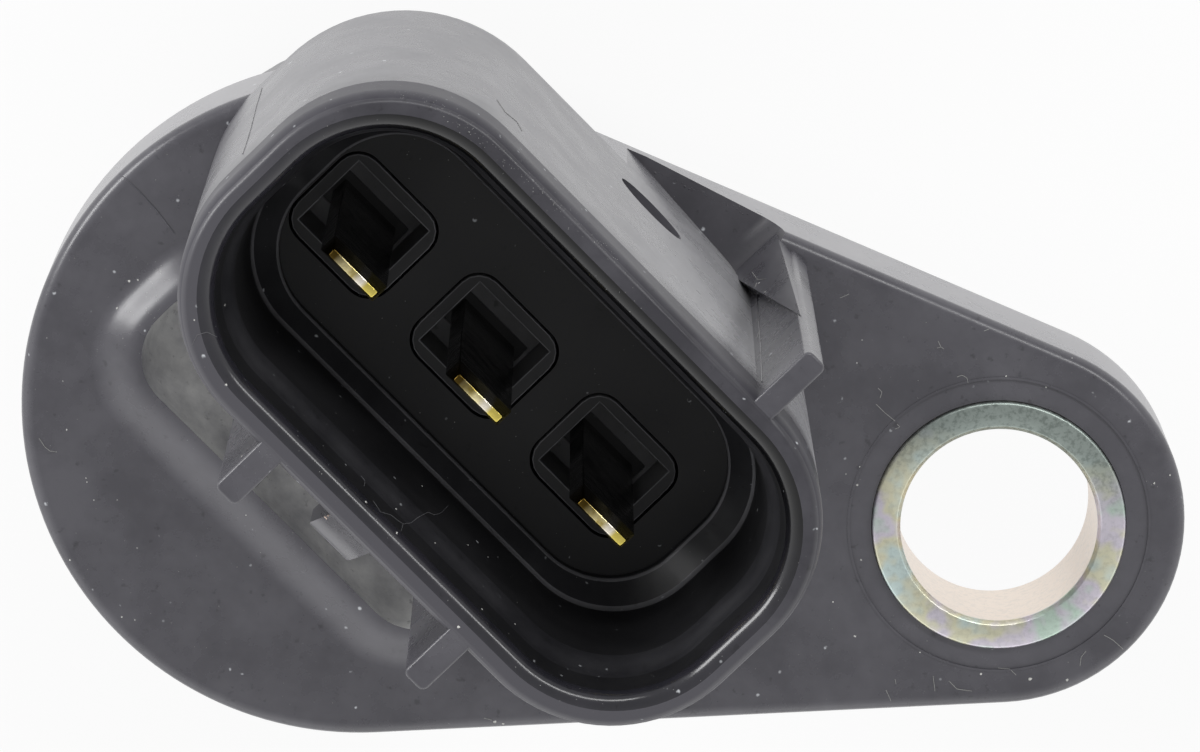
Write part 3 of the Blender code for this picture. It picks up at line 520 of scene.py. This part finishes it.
def moulded_polymer(name, dark, light, rough=(0.24, 0.34), gloss=0.5, specks=0.60, painted_light_and_shade=()):
    """A painted light or shade is a direction, two places along it in mm and a tone; more specks come with a lower
    limit.
    """
    material, tree, shader, place = new_material(name)
    cloud = add_node(tree, "TexNoise", {"Vector": place, "Scale": pattern_scale(2.5), "Detail": 5.0,
                                        "Roughness": 0.65})
    share = add_node(tree, "MapRange", {0: cloud, 1: 0.35, 2: 0.65})
    colour = add_node(tree, "Mix", {0: share, 6: dark, 7: light}, data_type="RGBA")
    pitted = add_node(tree, "TexNoise", {"Vector": place, "Scale": pattern_scale(0.35), "Detail": 3.0,
                                         "Roughness": 0.6})
    pits = add_node(tree, "MapRange", {0: pitted, 1: 0.36, 2: 0.28, 4: 0.45})
    colour = add_node(tree, "Mix", {0: pits, 6: colour, 7: dark_of(dark)}, data_type="RGBA")
    # A lighter or darker second tone along a direction: painted light or painted shade
    for direction, start, end, tone in painted_light_and_shade:
        along = add_node(tree, "VectorMath", {0: place, 1: direction}, operation="DOT_PRODUCT")
        edge = add_node(tree, "TexNoise", {"Vector": place, "Scale": pattern_scale(0.6), "Detail": 4.0,
                                           "Roughness": 0.7})
        ragged = add_node(tree, "Math", {0: edge, 1: 2 * RAGGED, 2: along}, operation="MULTIPLY_ADD")
        share = add_node(tree, "MapRange", {0: ragged, 1: start * MM + RAGGED, 2: end * MM + RAGGED})
        colour = add_node(tree, "Mix", {0: share, 6: colour, 7: tone}, data_type="RGBA")
    dots = add_node(tree, "TexVoronoi", {"Vector": place, "Scale": pattern_scale(0.5)})
    near = add_node(tree, "MapRange", {0: dots, 1: 0.17, 2: 0.08})
    patches = add_node(tree, "TexNoise", {"Vector": place, "Scale": pattern_scale(0.7), "Detail": 3.0,
                                          "Roughness": 0.7})
    rare = add_node(tree, "MapRange", {0: patches, 1: specks, 2: specks + 0.05})
    dust = add_node(tree, "Math", {0: near, 1: rare}, operation="MULTIPLY")
    colour = add_node(tree, "Mix", {0: dust, 6: colour, 7: "#b9bcc0"}, data_type="RGBA")
    grain = add_node(tree, "TexNoise", {"Vector": place, "Scale": pattern_scale(0.13), "Detail": 3.0,
                                        "Roughness": 0.6})
    bump = add_node(tree, "Bump", {"Height": grain, "Strength": 0.03, "Distance": 0.02 * MM})
    sheen = add_node(tree, "MapRange", {0: cloud, 1: 0.3, 2: 0.7, 3: rough[0], 4: rough[1]})
    set_inputs(tree, shader, {"Base Color": colour, "Roughness": sheen, "Normal": bump})
    shader.inputs["IOR"].default_value = 1.57
    shader.inputs["Specular IOR Level"].default_value = gloss
    return material


# The outside is satin and slightly hazed; the ring round the sleeve was pressed smooth by the bolt's head
outer_pbt = moulded_polymer("glass_filled_pbt", "#46454b", "#545359", (0.22, 0.34))
ring_pbt = moulded_polymer("glass_filled_pbt_ring", "#4c4b51", "#57565c", (0.20, 0.30))
print("made:", outer_pbt.name, "and", ring_pbt.name)

# %% [markdown]
# The same polymer looks different from place to place, because of handling and dust, and several looks are
# lighter or darker copies that paint the light and shade each place gets. Each look is the same recipe with its
# own two tones and gloss. The directions of the painted light and shade are those of the connector, along the
# row of blades and across it, and one towards the far right.

# %% Looks of the polymer
ALONG, ACROSS, FAR_RIGHT, UP = (0.814, -0.581, 0), (0.581, 0.814, 0), (0.930, 0.356, 0), (0, 0, 1)
# Inside the connector the skin is clean, duller and deep black, the black partly painted shade; its lip is the
# glossiest part, with painted shade on its far side
inner_pbt = moulded_polymer("glass_filled_pbt_inside", "#1c1c1e", "#232325", (0.36, 0.48), gloss=0.25)
lip_pbt = moulded_polymer("glass_filled_pbt_lip", "#232328", "#2c2b31", (0.15, 0.22), gloss=0.45, specks=0.58,
                          painted_light_and_shade=[(ACROSS, 7.5, 10.5, "#0b0b0d")])
# The shoulder and the sloping ledge are painted lighter: a painted highlight
painted_highlight_pbt = moulded_polymer("glass_filled_pbt_painted_highlight", "#242427", "#303033", (0.32, 0.42), gloss=0.4, specks=0.58)
# Pale lines on the ledge's rounded edges and the towers' sloping edges: painted highlight
highlight_line_pbt = moulded_polymer("glass_filled_pbt_highlight_line", "#626265", "#727276", (0.36, 0.46))
# The trough holds a film of grey dust, and its very pale tone is partly painted light that lifts its shade; the
# flange's upright edge was rubbed pale and is made paler still by painted light
dust_and_light_pbt = moulded_polymer("glass_filled_pbt_dust_and_light", "#9b9b9e", "#d8d8d6", (0.45, 0.60))
wall_pbt = moulded_polymer("glass_filled_pbt_wall", "#737277", "#8f8e91", (0.24, 0.34))
scoop_pbt = moulded_polymer("glass_filled_pbt_scoop", "#454449", "#525156", (0.28, 0.36), gloss=0.25)
# The rim and the band below it are matt and speckled where plugs have been pushed on; the rim's darker tone is a
# painted shade, and both are painted lighter towards the near side
rim_pbt = moulded_polymer("glass_filled_pbt_rim", "#313036", "#424147", (0.28, 0.40), gloss=0.4, specks=0.56,
                          painted_light_and_shade=[(ACROSS, 9.5, 4.5, "#49484e")])
band_pbt = moulded_polymer("glass_filled_pbt_band", "#37363c", "#46454b", (0.34, 0.46), gloss=0.10, specks=0.54,
                           painted_light_and_shade=[(ACROSS, 8.5, 5.0, "#48474d")])
# The shroud's wall is greyer than the flange, with painted light towards the far right that lifts the gusset's
# shadow, and it is darker towards the top
side_pbt = moulded_polymer("glass_filled_pbt_side", "#504f55", "#605f64", (0.22, 0.34),
                           painted_light_and_shade=[(FAR_RIGHT, 10.2, 12.7, "#97979a"), (UP, 40.2, 42.0, "#45444a")])
# The carrier is a duller grade; its wells are painted pale, a painted light in their deep shade
carrier_pbt = moulded_polymer("carrier_pbt", "#2a2a2c", "#323234", (0.40, 0.52), gloss=0.25)
well_light_pbt = moulded_polymer("carrier_pbt_well_light", "#747476", "#848486", (0.45, 0.55), gloss=0.25)
# Hidden pieces: soft matt rubber, brown fired ceramic, and the circuit's plain black epoxy
rubber = moulded_polymer("nitrile_rubber", "#181818", "#202020", (0.5, 0.7))
ceramic = moulded_polymer("fired_ceramic", "#6b4f38", "#8a6a4c", (0.4, 0.5))
epoxy = moulded_polymer("circuit_epoxy", "#1a1a1a", "#222222", (0.4, 0.6))
print("materials so far:", len(bpy.data.materials))

# %% [markdown]
# The hidden metal pieces are plain: soft-iron plate, nickel plate on the magnet and tinned leads. Such
# metals give the eye a soft satin with faint clouds.

# %% Plain metals
def plated_metal(name, dark, light):
    material, tree, shader, place = new_material(name)
    cloud = add_node(tree, "TexNoise", {"Vector": place, "Scale": pattern_scale(1.6), "Detail": 4.0,
                                        "Roughness": 0.55})
    share = add_node(tree, "MapRange", {0: cloud, 1: 0.3, 2: 0.7})
    colour = add_node(tree, "Mix", {0: share, 6: dark, 7: light}, data_type="RGBA")
    sheen = add_node(tree, "MapRange", {0: cloud, 1: 0.3, 2: 0.7, 3: 0.25, 4: 0.40})
    set_inputs(tree, shader, {"Base Color": colour, "Roughness": sheen, "Metallic": 1.0})
    return material


tin = plated_metal("bright_tin", "#b8b8b4", "#d8d8d4")
iron = plated_metal("soft_iron", "#7d7d7a", "#9a9a96")
nickel = plated_metal("nickel_plate", "#8c8a84", "#aaa8a2")
print("made:", tin.name, iron.name, nickel.name)

# %% [markdown]
# The terminals are stamped from bronze strip, and only the blades' ends have a gold flash; further down the
# strip is painted dark, a painted shade of the dark room that it faces. Across each blade the gold gets painted
# light: from one edge to the other it goes from a painted dark brown shade over gold to a pale painted
# highlight. The three blades stand one pitch apart, so a Wrap folds the row on to its first blade, and one recipe
# fits all three.

# %% Gold flash on bronze
BLADE_FIRST, HALF_PITCH = BLADES_U[0] + 0.98 * MM, 2.75 * MM


def plated_blade(name, first_z):
    """Gold above the given height, with painted shade and painted highlight across each blade; the streaks are start,
    end and tone, in mm from the first blade's middle.
    """
    material, tree, shader, place = new_material(name)
    cloud = add_node(tree, "TexNoise", {"Vector": place, "Scale": pattern_scale(0.6), "Detail": 4.0,
                                        "Roughness": 0.55})
    share = add_node(tree, "MapRange", {0: cloud, 1: 0.35, 2: 0.62})
    gold = add_node(tree, "Mix", {0: share, 6: "#a8954f", 7: "#fff2be"}, data_type="RGBA")
    along = add_node(tree, "VectorMath", {0: place, 1: ALONG}, operation="DOT_PRODUCT")
    along = add_node(tree, "Math", {0: along, 1: BLADE_FIRST + HALF_PITCH, 2: BLADE_FIRST - HALF_PITCH},
                     operation="WRAP")
    # Across each blade: a painted shade on one edge, a painted highlight, and a yellow band beyond it
    for start, end, tone in ((-0.15, -0.75, "#4a3b18"), (0.05, 0.25, "#fbf3e2"), (0.40, 0.55, "#d9c765")):
        share = add_node(tree, "MapRange", {0: along, 1: BLADE_FIRST + start * MM, 2: BLADE_FIRST + end * MM})
        gold = add_node(tree, "Mix", {0: share, 6: gold, 7: tone}, data_type="RGBA")
    height = add_node(tree, "SeparateXYZ", {"Vector": place}).outputs["Z"]
    plated = add_node(tree, "MapRange", {0: height, 1: first_z, 2: first_z + 0.1 * MM})
    # Below the flash the strip is painted dark: a painted shade
    colour = add_node(tree, "Mix", {0: plated, 6: "#1d1913", 7: gold}, data_type="RGBA")
    sheen = add_node(tree, "MapRange", {0: cloud, 1: 0.3, 2: 0.7, 3: 0.16, 4: 0.26})
    bump = add_node(tree, "Bump", {"Height": cloud, "Strength": 0.6, "Distance": 0.06 * MM})
    set_inputs(tree, shader, {"Base Color": colour, "Roughness": sheen, "Normal": bump, "Metallic": 1.0})
    return material


gold_flash = plated_blade("gold_flash_on_bronze", TOP_Z + 13.7 * MM)
print("made:", gold_flash.name)

# %% [markdown]
# The sleeve is turned steel with zinc and a clear chromate. Such a film is so thin that it shows soft
# tints of yellow, violet and green. The bolt's head has dulled the upper face on its far side, where it is
# grainy and grey, and the bore stays warm and bright.

# %% Passivated zinc
def passivated_zinc(name):
    material, tree, shader, place = new_material(name)
    film = add_node(tree, "TexNoise", {"Vector": place, "Scale": pattern_scale(2.6), "Detail": 3.0,
                                       "Roughness": 0.6})
    grain = add_node(tree, "TexNoise", {"Vector": place, "Scale": pattern_scale(0.22), "Detail": 5.0,
                                        "Roughness": 0.75})
    tint = "#cfe0dd"
    for start, end, tone in ((0.40, 0.48, "#dedcc2"), (0.50, 0.57, "#dbd5e0"), (0.60, 0.67, "#c8dccf")):
        share = add_node(tree, "MapRange", {0: film, 1: start, 2: end})
        tint = add_node(tree, "Mix", {0: share, 6: tint, 7: tone}, data_type="RGBA")
    axes = add_node(tree, "SeparateXYZ", {"Vector": place})
    far = add_node(tree, "MapRange", {0: axes.outputs["Y"], 1: 0.8 * MM, 2: 3.0 * MM})
    top = add_node(tree, "MapRange", {0: axes.outputs["Z"], 1: TOP_Z - 0.1 * MM, 2: TOP_Z})
    worn = add_node(tree, "Math", {0: far, 1: top}, operation="MULTIPLY")
    face = add_node(tree, "Mix", {0: worn, 6: tint, 7: "#9fa9a4"}, data_type="RGBA")
    colour = add_node(tree, "Mix", {0: top, 6: "#f2e6da", 7: face}, data_type="RGBA")
    hollows = add_node(tree, "MapRange", {0: grain, 1: 0.52, 2: 0.40, 4: 0.42})
    depth = add_node(tree, "MapRange", {0: worn, 3: 0.30})
    deep = add_node(tree, "Math", {0: hollows, 1: depth}, operation="MULTIPLY")
    colour = add_node(tree, "Mix", {0: deep, 6: colour, 7: "#5d6660"}, data_type="RGBA")
    sheen = add_node(tree, "MapRange", {0: grain, 1: 0.3, 2: 0.7, 3: 0.30, 4: 0.46})
    bump = add_node(tree, "Bump", {"Height": grain, "Strength": 0.45, "Distance": 0.02 * MM})
    set_inputs(tree, shader, {"Base Color": colour, "Roughness": sheen, "Normal": bump, "Metallic": 1.0})
    return material


zinc = passivated_zinc("passivated_zinc")
print("made:", zinc.name)

# %% [markdown]
# The moulding is one piece with twelve looks. A face gets its look from where it lies and which way it
# faces, measured in the connector's own frame, so no mesh has to be cut for a change of finish.

# %% Looks of the housing
OUTSIDE, INSIDE, TROUGH, RING, WALL, LIP, PAINTED_HIGHLIGHT, SCOOP, RIM, SIDE, HIGHLIGHT_LINE, BAND = range(12)
LOOKS = [outer_pbt, inner_pbt, dust_and_light_pbt, ring_pbt, wall_pbt, lip_pbt, painted_highlight_pbt, scoop_pbt, rim_pbt, side_pbt,
         highlight_line_pbt, band_pbt]
SLACK = 0.01 * MM
LIP_BOTTOM = RIM_Z - 0.6 * MM
# Heights over the flange, in mm: the ledge's two rounded edges, the shoulder, and the ledge's upper end
LOWER_EDGE, UPPER_EDGE, SHOULDER_SPAN, LEDGE_TOP = (7.67, 7.87), (8.31, 8.61), (13.2, 14.6), 9.0
TROUGH_MIDDLE = [(a + b) / 2 for a, b in zip(*PAD_IN)]


def look_inside(low_z, z, inward, normal):
    """The look of a face in the connector's room, or None for one that only touches its border."""
    above = (z - TOP_Z) / MM
    sloping = 0.2 < normal.z < 0.97
    if inward and low_z < RIM_Z - 0.003 * MM and z > LIP_BOTTOM:
        return LIP
    # The ledge's rounded edges get a painted highlight line
    if any(low < above < high for low, high in (LOWER_EDGE, UPPER_EDGE)):
        return HIGHLIGHT_LINE
    # The shoulder and the sloping ledge get a painted highlight
    if inward and SHOULDER_SPAN[0] < above < SHOULDER_SPAN[1] or sloping and above < LEDGE_TOP:
        return PAINTED_HIGHLIGHT
    if inward or normal.z > 0.2 and above < SHOULDER_SPAN[0]:
        return INSIDE
    return None


def look_outside(u, v, z, normal, highest_v):
    """The look of a face of the flange or of the shroud's outside."""
    if v > 6.1 * MM and u < 6.2 * MM and SEAT_Z < z < TOP_Z - 0.1 * MM and normal.z > 0.2:
        return SCOOP
    if abs(normal.z) < 0.3 and abs(v) < 6.6 * MM and SEAT_Z < z < RIM_Z - BAND_DEPTH + SLACK:
        on_gusset = 3 * MM < u < 10 * MM and v > 0 and normal.x < -0.15
        beside_scoop = -3 * MM < u < 6 * MM and v > 5.8 * MM and normal.y > 0.9
        if not on_gusset and (z > TOP_Z or beside_scoop):
            return SIDE
    if z > RIM_Z - BAND_DEPTH and highest_v < 6.3 * MM:
        return RIM if normal.z > 0.6 else BAND
    return WALL if SEAT_Z < z < TOP_Z - 0.4 * MM and abs(normal.z) < 0.2 else OUTSIDE


def look_of(face, mesh):
    corners = [TO_CONNECTOR @ mesh.vertices[i].co for i in face.vertices]
    u, v, z = TO_CONNECTOR @ face.center
    normal = TO_CONNECTOR.to_3x3() @ face.normal
    low_z = min(c.z for c in corners)
    in_mouth = all(abs(c.x) < MOUTH_U + SLACK and abs(c.y) < MOUTH_V + SLACK for c in corners)
    if in_mouth and low_z > TOP_Z + 3.3 * MM:
        look = look_inside(low_z, z, normal.x * u + normal.y * v < -0.02 * math.hypot(u, v), normal)
        if look is not None:
            return look
    if PAD_IN[0][0] < u < PAD_IN[1][0] and PAD_IN[0][1] < v < TROUGH_BACK_V and TROUGH_FOOT < z < TOP_Z + 0.79 * MM:
        towards_middle = normal.x * (u - TROUGH_MIDDLE[0]) + normal.y * (v - TROUGH_MIDDLE[1]) < 0
        if towards_middle or z < TOP_Z - MM:
            return TROUGH
    from_bolt = max((mesh.vertices[i].co.xy - Vector((BOLT_X, 0))).length for i in face.vertices)
    if from_bolt < RING_R + SLACK and z > TOP_Z - RING_D - SLACK:
        return RING
    return look_outside(u, v, z, normal, max(abs(c.y) for c in corners))


dress(housing, "glass_filled_polymer", LOOKS, "sensor_housing")
for face in housing.data.polygons:
    face.material_index = look_of(face, housing.data)
print("faces by look:", [sum(face.material_index == look for face in housing.data.polygons) for look in range(12)])

# %% [markdown]
# The other pieces that show are dressed the same way. Only the carrier has more than one look: wells painted
# pale, a painted light in their shade, and a painted highlight line on the towers' sloping edges. The hidden
# nodes keep their CAD meshes and get their finish there, because nobody sees them but in a section.

# %% Dress the other pieces
dress(sleeve, "passivated_zinc_steel", [zinc], "mounting_sleeve")
WELL_LIGHT, TOWER_EDGE_HIGHLIGHT = 1, 2
dress(carrier, "carrier_polymer", [carrier_pbt, well_light_pbt, highlight_line_pbt], "terminal_carrier")
near_top = max(vert.co.z for vert in carrier.data.vertices) - 0.1 * MM
for face in carrier.data.polygons:
    spot = TO_CONNECTOR @ face.center
    # The wells get a pale tone: painted light in their deep shade
    if abs(spot.y) < 1.6 * MM and spot.z < near_top:
        face.material_index = WELL_LIGHT
    # The towers' sloping top edges get a painted highlight line
    elif 0.2 < face.normal.z < 0.95 and spot.z > near_top:
        face.material_index = TOWER_EDGE_HIGHLIGHT
for number, terminal in enumerate(terminals, 1):
    dress(terminal, "gold_plated_bronze", [gold_flash], "terminal_%d" % number)

HIDDEN = {"end_cap": outer_pbt, "o_ring": rubber, "hall_circuit": epoxy, "flux_plate": iron, "back_magnet": nickel,
          "ic_lead_1": tin, "ic_lead_2": tin, "ic_lead_3": tin, "capacitor_1": ceramic, "capacitor_2": ceramic}
for node, finish in HIDDEN.items():
    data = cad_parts[node].data
    data.materials.clear()
    data.materials.append(finish)
print("hidden nodes with a finish:", len(HIDDEN))

# %% [markdown]
# A used part carries dirt. Lint is laid where the picture shows it: a ray goes from the camera through a
# point of the picture and stops on the moulding, so each fibre lies on the surface. A BVH tree of the
# housing's faces makes hundreds of such rays quick.

# %% From the picture to the surface
skin = bmesh.new()
skin.from_mesh(housing.data)
surface = BVHTree.FromBMesh(skin)
skin.free()
camera_turn = camera.rotation_euler.to_matrix()


def on_surface(x, y):
    """Where the camera's ray through a point of the picture meets the moulding, and the normal there."""
    focal = camera_data.lens / camera_data.sensor_width * PHOTO_W
    direction = camera_turn @ Vector(((x - PHOTO_W / 2) / focal, (PHOTO_H / 2 - y) / focal, -1)).normalized()
    place, normal, _, _ = surface.ray_cast(camera.location, direction)
    return place, normal


print("the picture's middle lies %.1f mm up" % (on_surface(PHOTO_W / 2, PHOTO_H / 2)[0].z / MM))

# %% [markdown]
# A fibre of lint or a seam of the mould is a curve with a round bevel that follows the surface. It is made
# a mesh before it is dressed. Cotton, skin and paper dust is matt and nearly white.

# %% Lint and seams
def bright_dirt(name, colour):
    material, tree, shader, place = new_material(name)
    mottled = add_node(tree, "TexNoise", {"Vector": place, "Scale": pattern_scale(0.1), "Detail": 3.0,
                                          "Roughness": 0.55})
    shade = add_node(tree, "Mix", {0: mottled, 6: dark_of(colour, 0.25), 7: colour}, data_type="RGBA")
    set_inputs(tree, shader, {"Base Color": shade, "Roughness": 0.8})
    return material


def threads(name, lines, radius, finish):
    """Thin round threads that follow lines drawn in the picture."""
    curve = bpy.data.curves.new(name, "CURVE")
    curve.dimensions = "3D"
    curve.bevel_depth, curve.bevel_resolution, curve.resolution_u = radius, 1, 2
    curve.use_fill_caps = True
    for line in lines:
        points = []
        for (x0, y0), (x1, y1) in zip(line, line[1:]):
            steps = max(1, round(math.hypot(x1 - x0, y1 - y0) / 2.5))
            points += [(x0 + (x1 - x0) * i / steps, y0 + (y1 - y0) * i / steps) for i in range(steps)]
        spots = [on_surface(x, y) for x, y in points + [line[-1]]]
        spots = [place + normal * radius * 0.6 for place, normal in spots if place is not None]
        spline = curve.splines.new("NURBS")
        spline.points.add(len(spots) - 1)
        spline.order_u, spline.use_endpoint_u = 3, True
        for point, spot in zip(spline.points, spots):
            point.co = (*spot, 1)
    drawn = bpy.data.objects.new(name + "_curve", curve)
    piece = bpy.data.objects.new(name, bpy.data.meshes.new_from_object(drawn))
    bpy.data.objects.remove(drawn)
    bpy.context.scene.collection.objects.link(piece)
    return dress(piece, "glass_filled_polymer", [finish])


LINT = [
    [(957, 377), (962, 375), (967, 378), (968, 383)], [(876, 404), (884, 412), (895, 421)],
    [(897, 424), (900, 427), (895, 429)], [(878, 388), (882, 392), (880, 398)],
    [(938, 341), (941, 347), (937, 348)], [(941, 347), (944, 349)], [(984, 331), (989, 329)],
    [(840, 298), (849, 294)], [(1104, 635), (1113, 640), (1123, 649)], [(1086, 651), (1081, 657), (1080, 666)],
    [(895, 679), (896, 684)], [(933, 676), (935, 691)], [(949, 681), (957, 689), (972, 691)],
    [(886, 690), (891, 701)], [(998, 668), (1010, 669), (1016, 675)],
    [(39, 438), (45, 447), (50, 451), (57, 452)],
    [(752, 272), (758, 280), (766, 279)], [(748, 291), (757, 294), (763, 290)], [(757, 283), (754, 290)],
    [(497, 100), (505, 112), (517, 122), (522, 131)], [(760, 330), (757, 338)], [(484, 718), (492, 720)],
]
MOUTH_LINT = [
    [(192, 345), (197, 335), (207, 332), (217, 337)],
    [(373, 501), (378, 508), (380, 512), (391, 515), (397, 520), (403, 524), (411, 523), (417, 518), (428, 512),
     (434, 515), (441, 513), (448, 506)], [(403, 524), (401, 531)], [(361, 476), (365, 481), (364, 486)],
]
SEAMS = [
    [(120, 174), (138, 190), (158, 212), (174, 233)], [(262, 88), (256, 108), (250, 132), (243, 154)],
    [(757, 293), (759, 322), (761, 352), (762, 382)],
]
cotton = bright_dirt("cotton_lint", "#a4a4a2")
threads("lint", LINT, 0.011 * MM, cotton)
threads("lint_in_the_mouth", MOUTH_LINT, 0.008 * MM, bright_dirt("cotton_lint_in_shade", "#6c6c70"))
threads("mould_seams", SEAMS, 0.018 * MM, ring_pbt)

# %% [markdown]
# Crumbs of dust are small spheres, dented by smooth noise and sunk into the surface. The large ones lie
# where the picture has them. A few hundred small ones are strewn over the whole picture, more of them along
# the rim's upper edge and at its left end. The ragged flash at the scoop's edge is a row of such crumbs of
# the housing's own polymer, and two pale ones are the chip on the near lip.

# %% Crumbs, flash and chip
def crumbs(name, spots, finish):
    """Each spot is x and y in the picture and a radius in mm."""
    bm = bmesh.new()
    for x, y, radius in spots:
        place, normal = on_surface(x, y)
        if place is None:
            continue
        made = bmesh.ops.create_icosphere(bm, subdivisions=2 if radius > 0.04 else 1, radius=radius * 0.85 * MM,
                                          matrix=Matrix.Translation(place))["verts"]
        for vert in made:
            out = vert.co - place
            dent = smooth_noise.noise(vert.co / (0.07 * MM) + Vector((1, 0, 0)))
            vert.co = place + out * (0.7 + 0.5 * dent)
            vert.co -= normal * max(0.0, out.dot(normal)) * 0.5
    return dress(finish_mesh(name, bm), "glass_filled_polymer", [finish])


CRUMBS = [
    (855, 636, 0.06), (1030, 679, 0.09), (1067, 680, 0.08), (833, 602, 0.05), (862, 340, 0.04), (857, 363, 0.04),
    (1170, 475, 0.05), (1154, 483, 0.06), (1072, 358, 0.04), (1006, 376, 0.05), (1046, 387, 0.05), (860, 467, 0.05),
    (846, 474, 0.04), (857, 485, 0.06), (861, 560, 0.05), (981, 674, 0.06), (920, 652, 0.05), (63, 381, 0.04),
    (67, 430, 0.05), (70, 560, 0.05), (122, 617, 0.05), (135, 620, 0.04), (86, 478, 0.04), (87, 482, 0.04),
    (94, 500, 0.04), (117, 500, 0.04), (137, 548, 0.04), (47, 338, 0.04), (117, 308, 0.06), (129, 281, 0.06),
    (138, 280, 0.05), (225, 305, 0.06), (226, 385, 0.06), (194, 320, 0.05), (178, 328, 0.05), (246, 515, 0.05),
    (232, 421, 0.07), (242, 456, 0.05), (366, 502, 0.06), (396, 509, 0.05), (397, 533, 0.07), (422, 486, 0.05),
    (468, 545, 0.05), (435, 543, 0.05), (488, 557, 0.05), (515, 624, 0.04), (459, 627, 0.07), (482, 609, 0.05),
    (645, 196, 0.05), (759, 283, 0.06), (765, 292, 0.05), (748, 288, 0.04), (495, 722, 0.09), (503, 724, 0.08),
]
RIM_EDGE = [(262, 112), (310, 88), (370, 82), (430, 100), (485, 140), (560, 205), (620, 262)]
rng = random.Random(7)
STREWN = [(rng.uniform(30, 1180), rng.uniform(20, 730), rng.uniform(0.012, 0.026)) for _ in range(700)]
for (x0, y0), (x1, y1) in zip(RIM_EDGE, RIM_EDGE[1:]):
    STREWN += [(x0 + (x1 - x0) * t + rng.gauss(0, 4), y0 + (y1 - y0) * t + rng.gauss(0, 4), rng.uniform(0.010, 0.024))
               for t in [rng.random() for _ in range(55)]]
STREWN += [(rng.gauss(150, 14), rng.gauss(300, 22), rng.uniform(0.012, 0.03)) for _ in range(60)]
FLASH = [(655 + 92 * t + rng.gauss(0, 1.2), 172 + 42 * t + rng.gauss(0, 1.0), rng.uniform(0.03, 0.06))
         for t in [i / 44 for i in range(45)]]

crumbs("dust", CRUMBS, bright_dirt("paper_dust", "#dcdcd8"))
crumbs("fine_dust", STREWN, cotton)
crumbs("moulding_flash", FLASH, scoop_pbt)
crumbs("chip", [(326, 518, 0.10), (328, 515, 0.07)], bright_dirt("pale_chip", "#f0d8c8"))

# %% [markdown]
# The part lies in a white light tent: the sky is bright at the horizon and dimmer overhead, where the
# camera looks in. A square lamp on the left draws the soft highlight on the pad's end, and a low strip at
# the back draws the thin bright lines on the mouth's inner edge. Together they light an upward face at
# about the level at which a colour renders as it is written.

# %% Lights
def soft_lamp(name, direction, distance, size, radiance):
    """A rectangle that looks at the part and is as bright as radiance times white."""
    data = bpy.data.lights.new(name, "AREA")
    data.shape = "RECTANGLE"
    data.size, data.size_y = size
    data.energy = math.pi * size[0] * size[1] * radiance
    lamp = bpy.data.objects.new(name, data)
    aim = Vector((0.006, 0, 0.03))
    lamp.location = aim + Vector(direction).normalized() * distance
    lamp.rotation_euler = (aim - lamp.location).to_track_quat("-Z", "Y").to_euler()
    bpy.context.scene.collection.objects.link(lamp)


soft_lamp("lamp_left", (-0.88, 0.31, 0.35), 0.50, (0.22, 0.16), 10.5)
soft_lamp("strip_back", (0.20, 0.79, 0.58), 0.50, (0.64, 0.06), 9.5)
print("lamps:", ", ".join(light.name for light in bpy.data.lights))

# %% [markdown]
# The tent itself is the world. Its strength falls with height and towards the back, as in a tent that is
# lit from its near side.

# %% World
world = bpy.data.worlds.new("light_tent")
world.use_nodes = True
tree = world.node_tree
sky = add_node(tree, "SeparateXYZ", {"Vector": add_node(tree, "TexCoord").outputs["Generated"]})
by_height = add_node(tree, "MapRange", {0: sky.outputs["Z"], 1: 0.0, 2: 1.0, 3: 1.15, 4: 0.50})
by_side = add_node(tree, "MapRange", {0: sky.outputs["Y"], 1: -0.9, 2: 0.9, 3: 1.45, 4: 0.55})
strength = add_node(tree, "Math", {0: by_height, 1: by_side}, operation="MULTIPLY")
set_inputs(tree, tree.nodes["Background"], {"Color": (1, 1, 1, 1), "Strength": strength})
bpy.context.scene.world = world
print("world:", world.name)

# %% [markdown]
# The floor is white paper. To the camera and in reflections it shows mostly a plain white glow, so that the
# ground is white without more light on the part; the rest is diffuse and keeps the part's shadow.

# %% Floor
bm = bmesh.new()
bmesh.ops.create_grid(bm, x_segments=1, y_segments=1, size=1.5)
floor = finish_mesh("floor", bm)
paper = bpy.data.materials.new("white_paper")
paper.use_nodes = True
tree = paper.node_tree
tree.nodes.clear()
diffuse = add_node(tree, "BsdfDiffuse", {"Color": (0.85, 0.85, 0.85, 1)})
glow = add_node(tree, "Emission", {"Color": (1, 1, 1, 1), "Strength": 1.0})
ray = add_node(tree, "LightPath").outputs
seen = add_node(tree, "Math", {0: ray["Is Camera Ray"], 1: ray["Is Glossy Ray"]}, operation="MAXIMUM")
share = add_node(tree, "Math", {0: seen, 1: 0.85}, operation="MULTIPLY")
mix = add_node(tree, "MixShader", {0: share, 1: diffuse, 2: glow})
add_node(tree, "OutputMaterial", {"Surface": mix})
floor.data.materials.append(paper)
bpy.context.scene.view_settings.view_transform = "Standard"
print("floor:", floor.name)
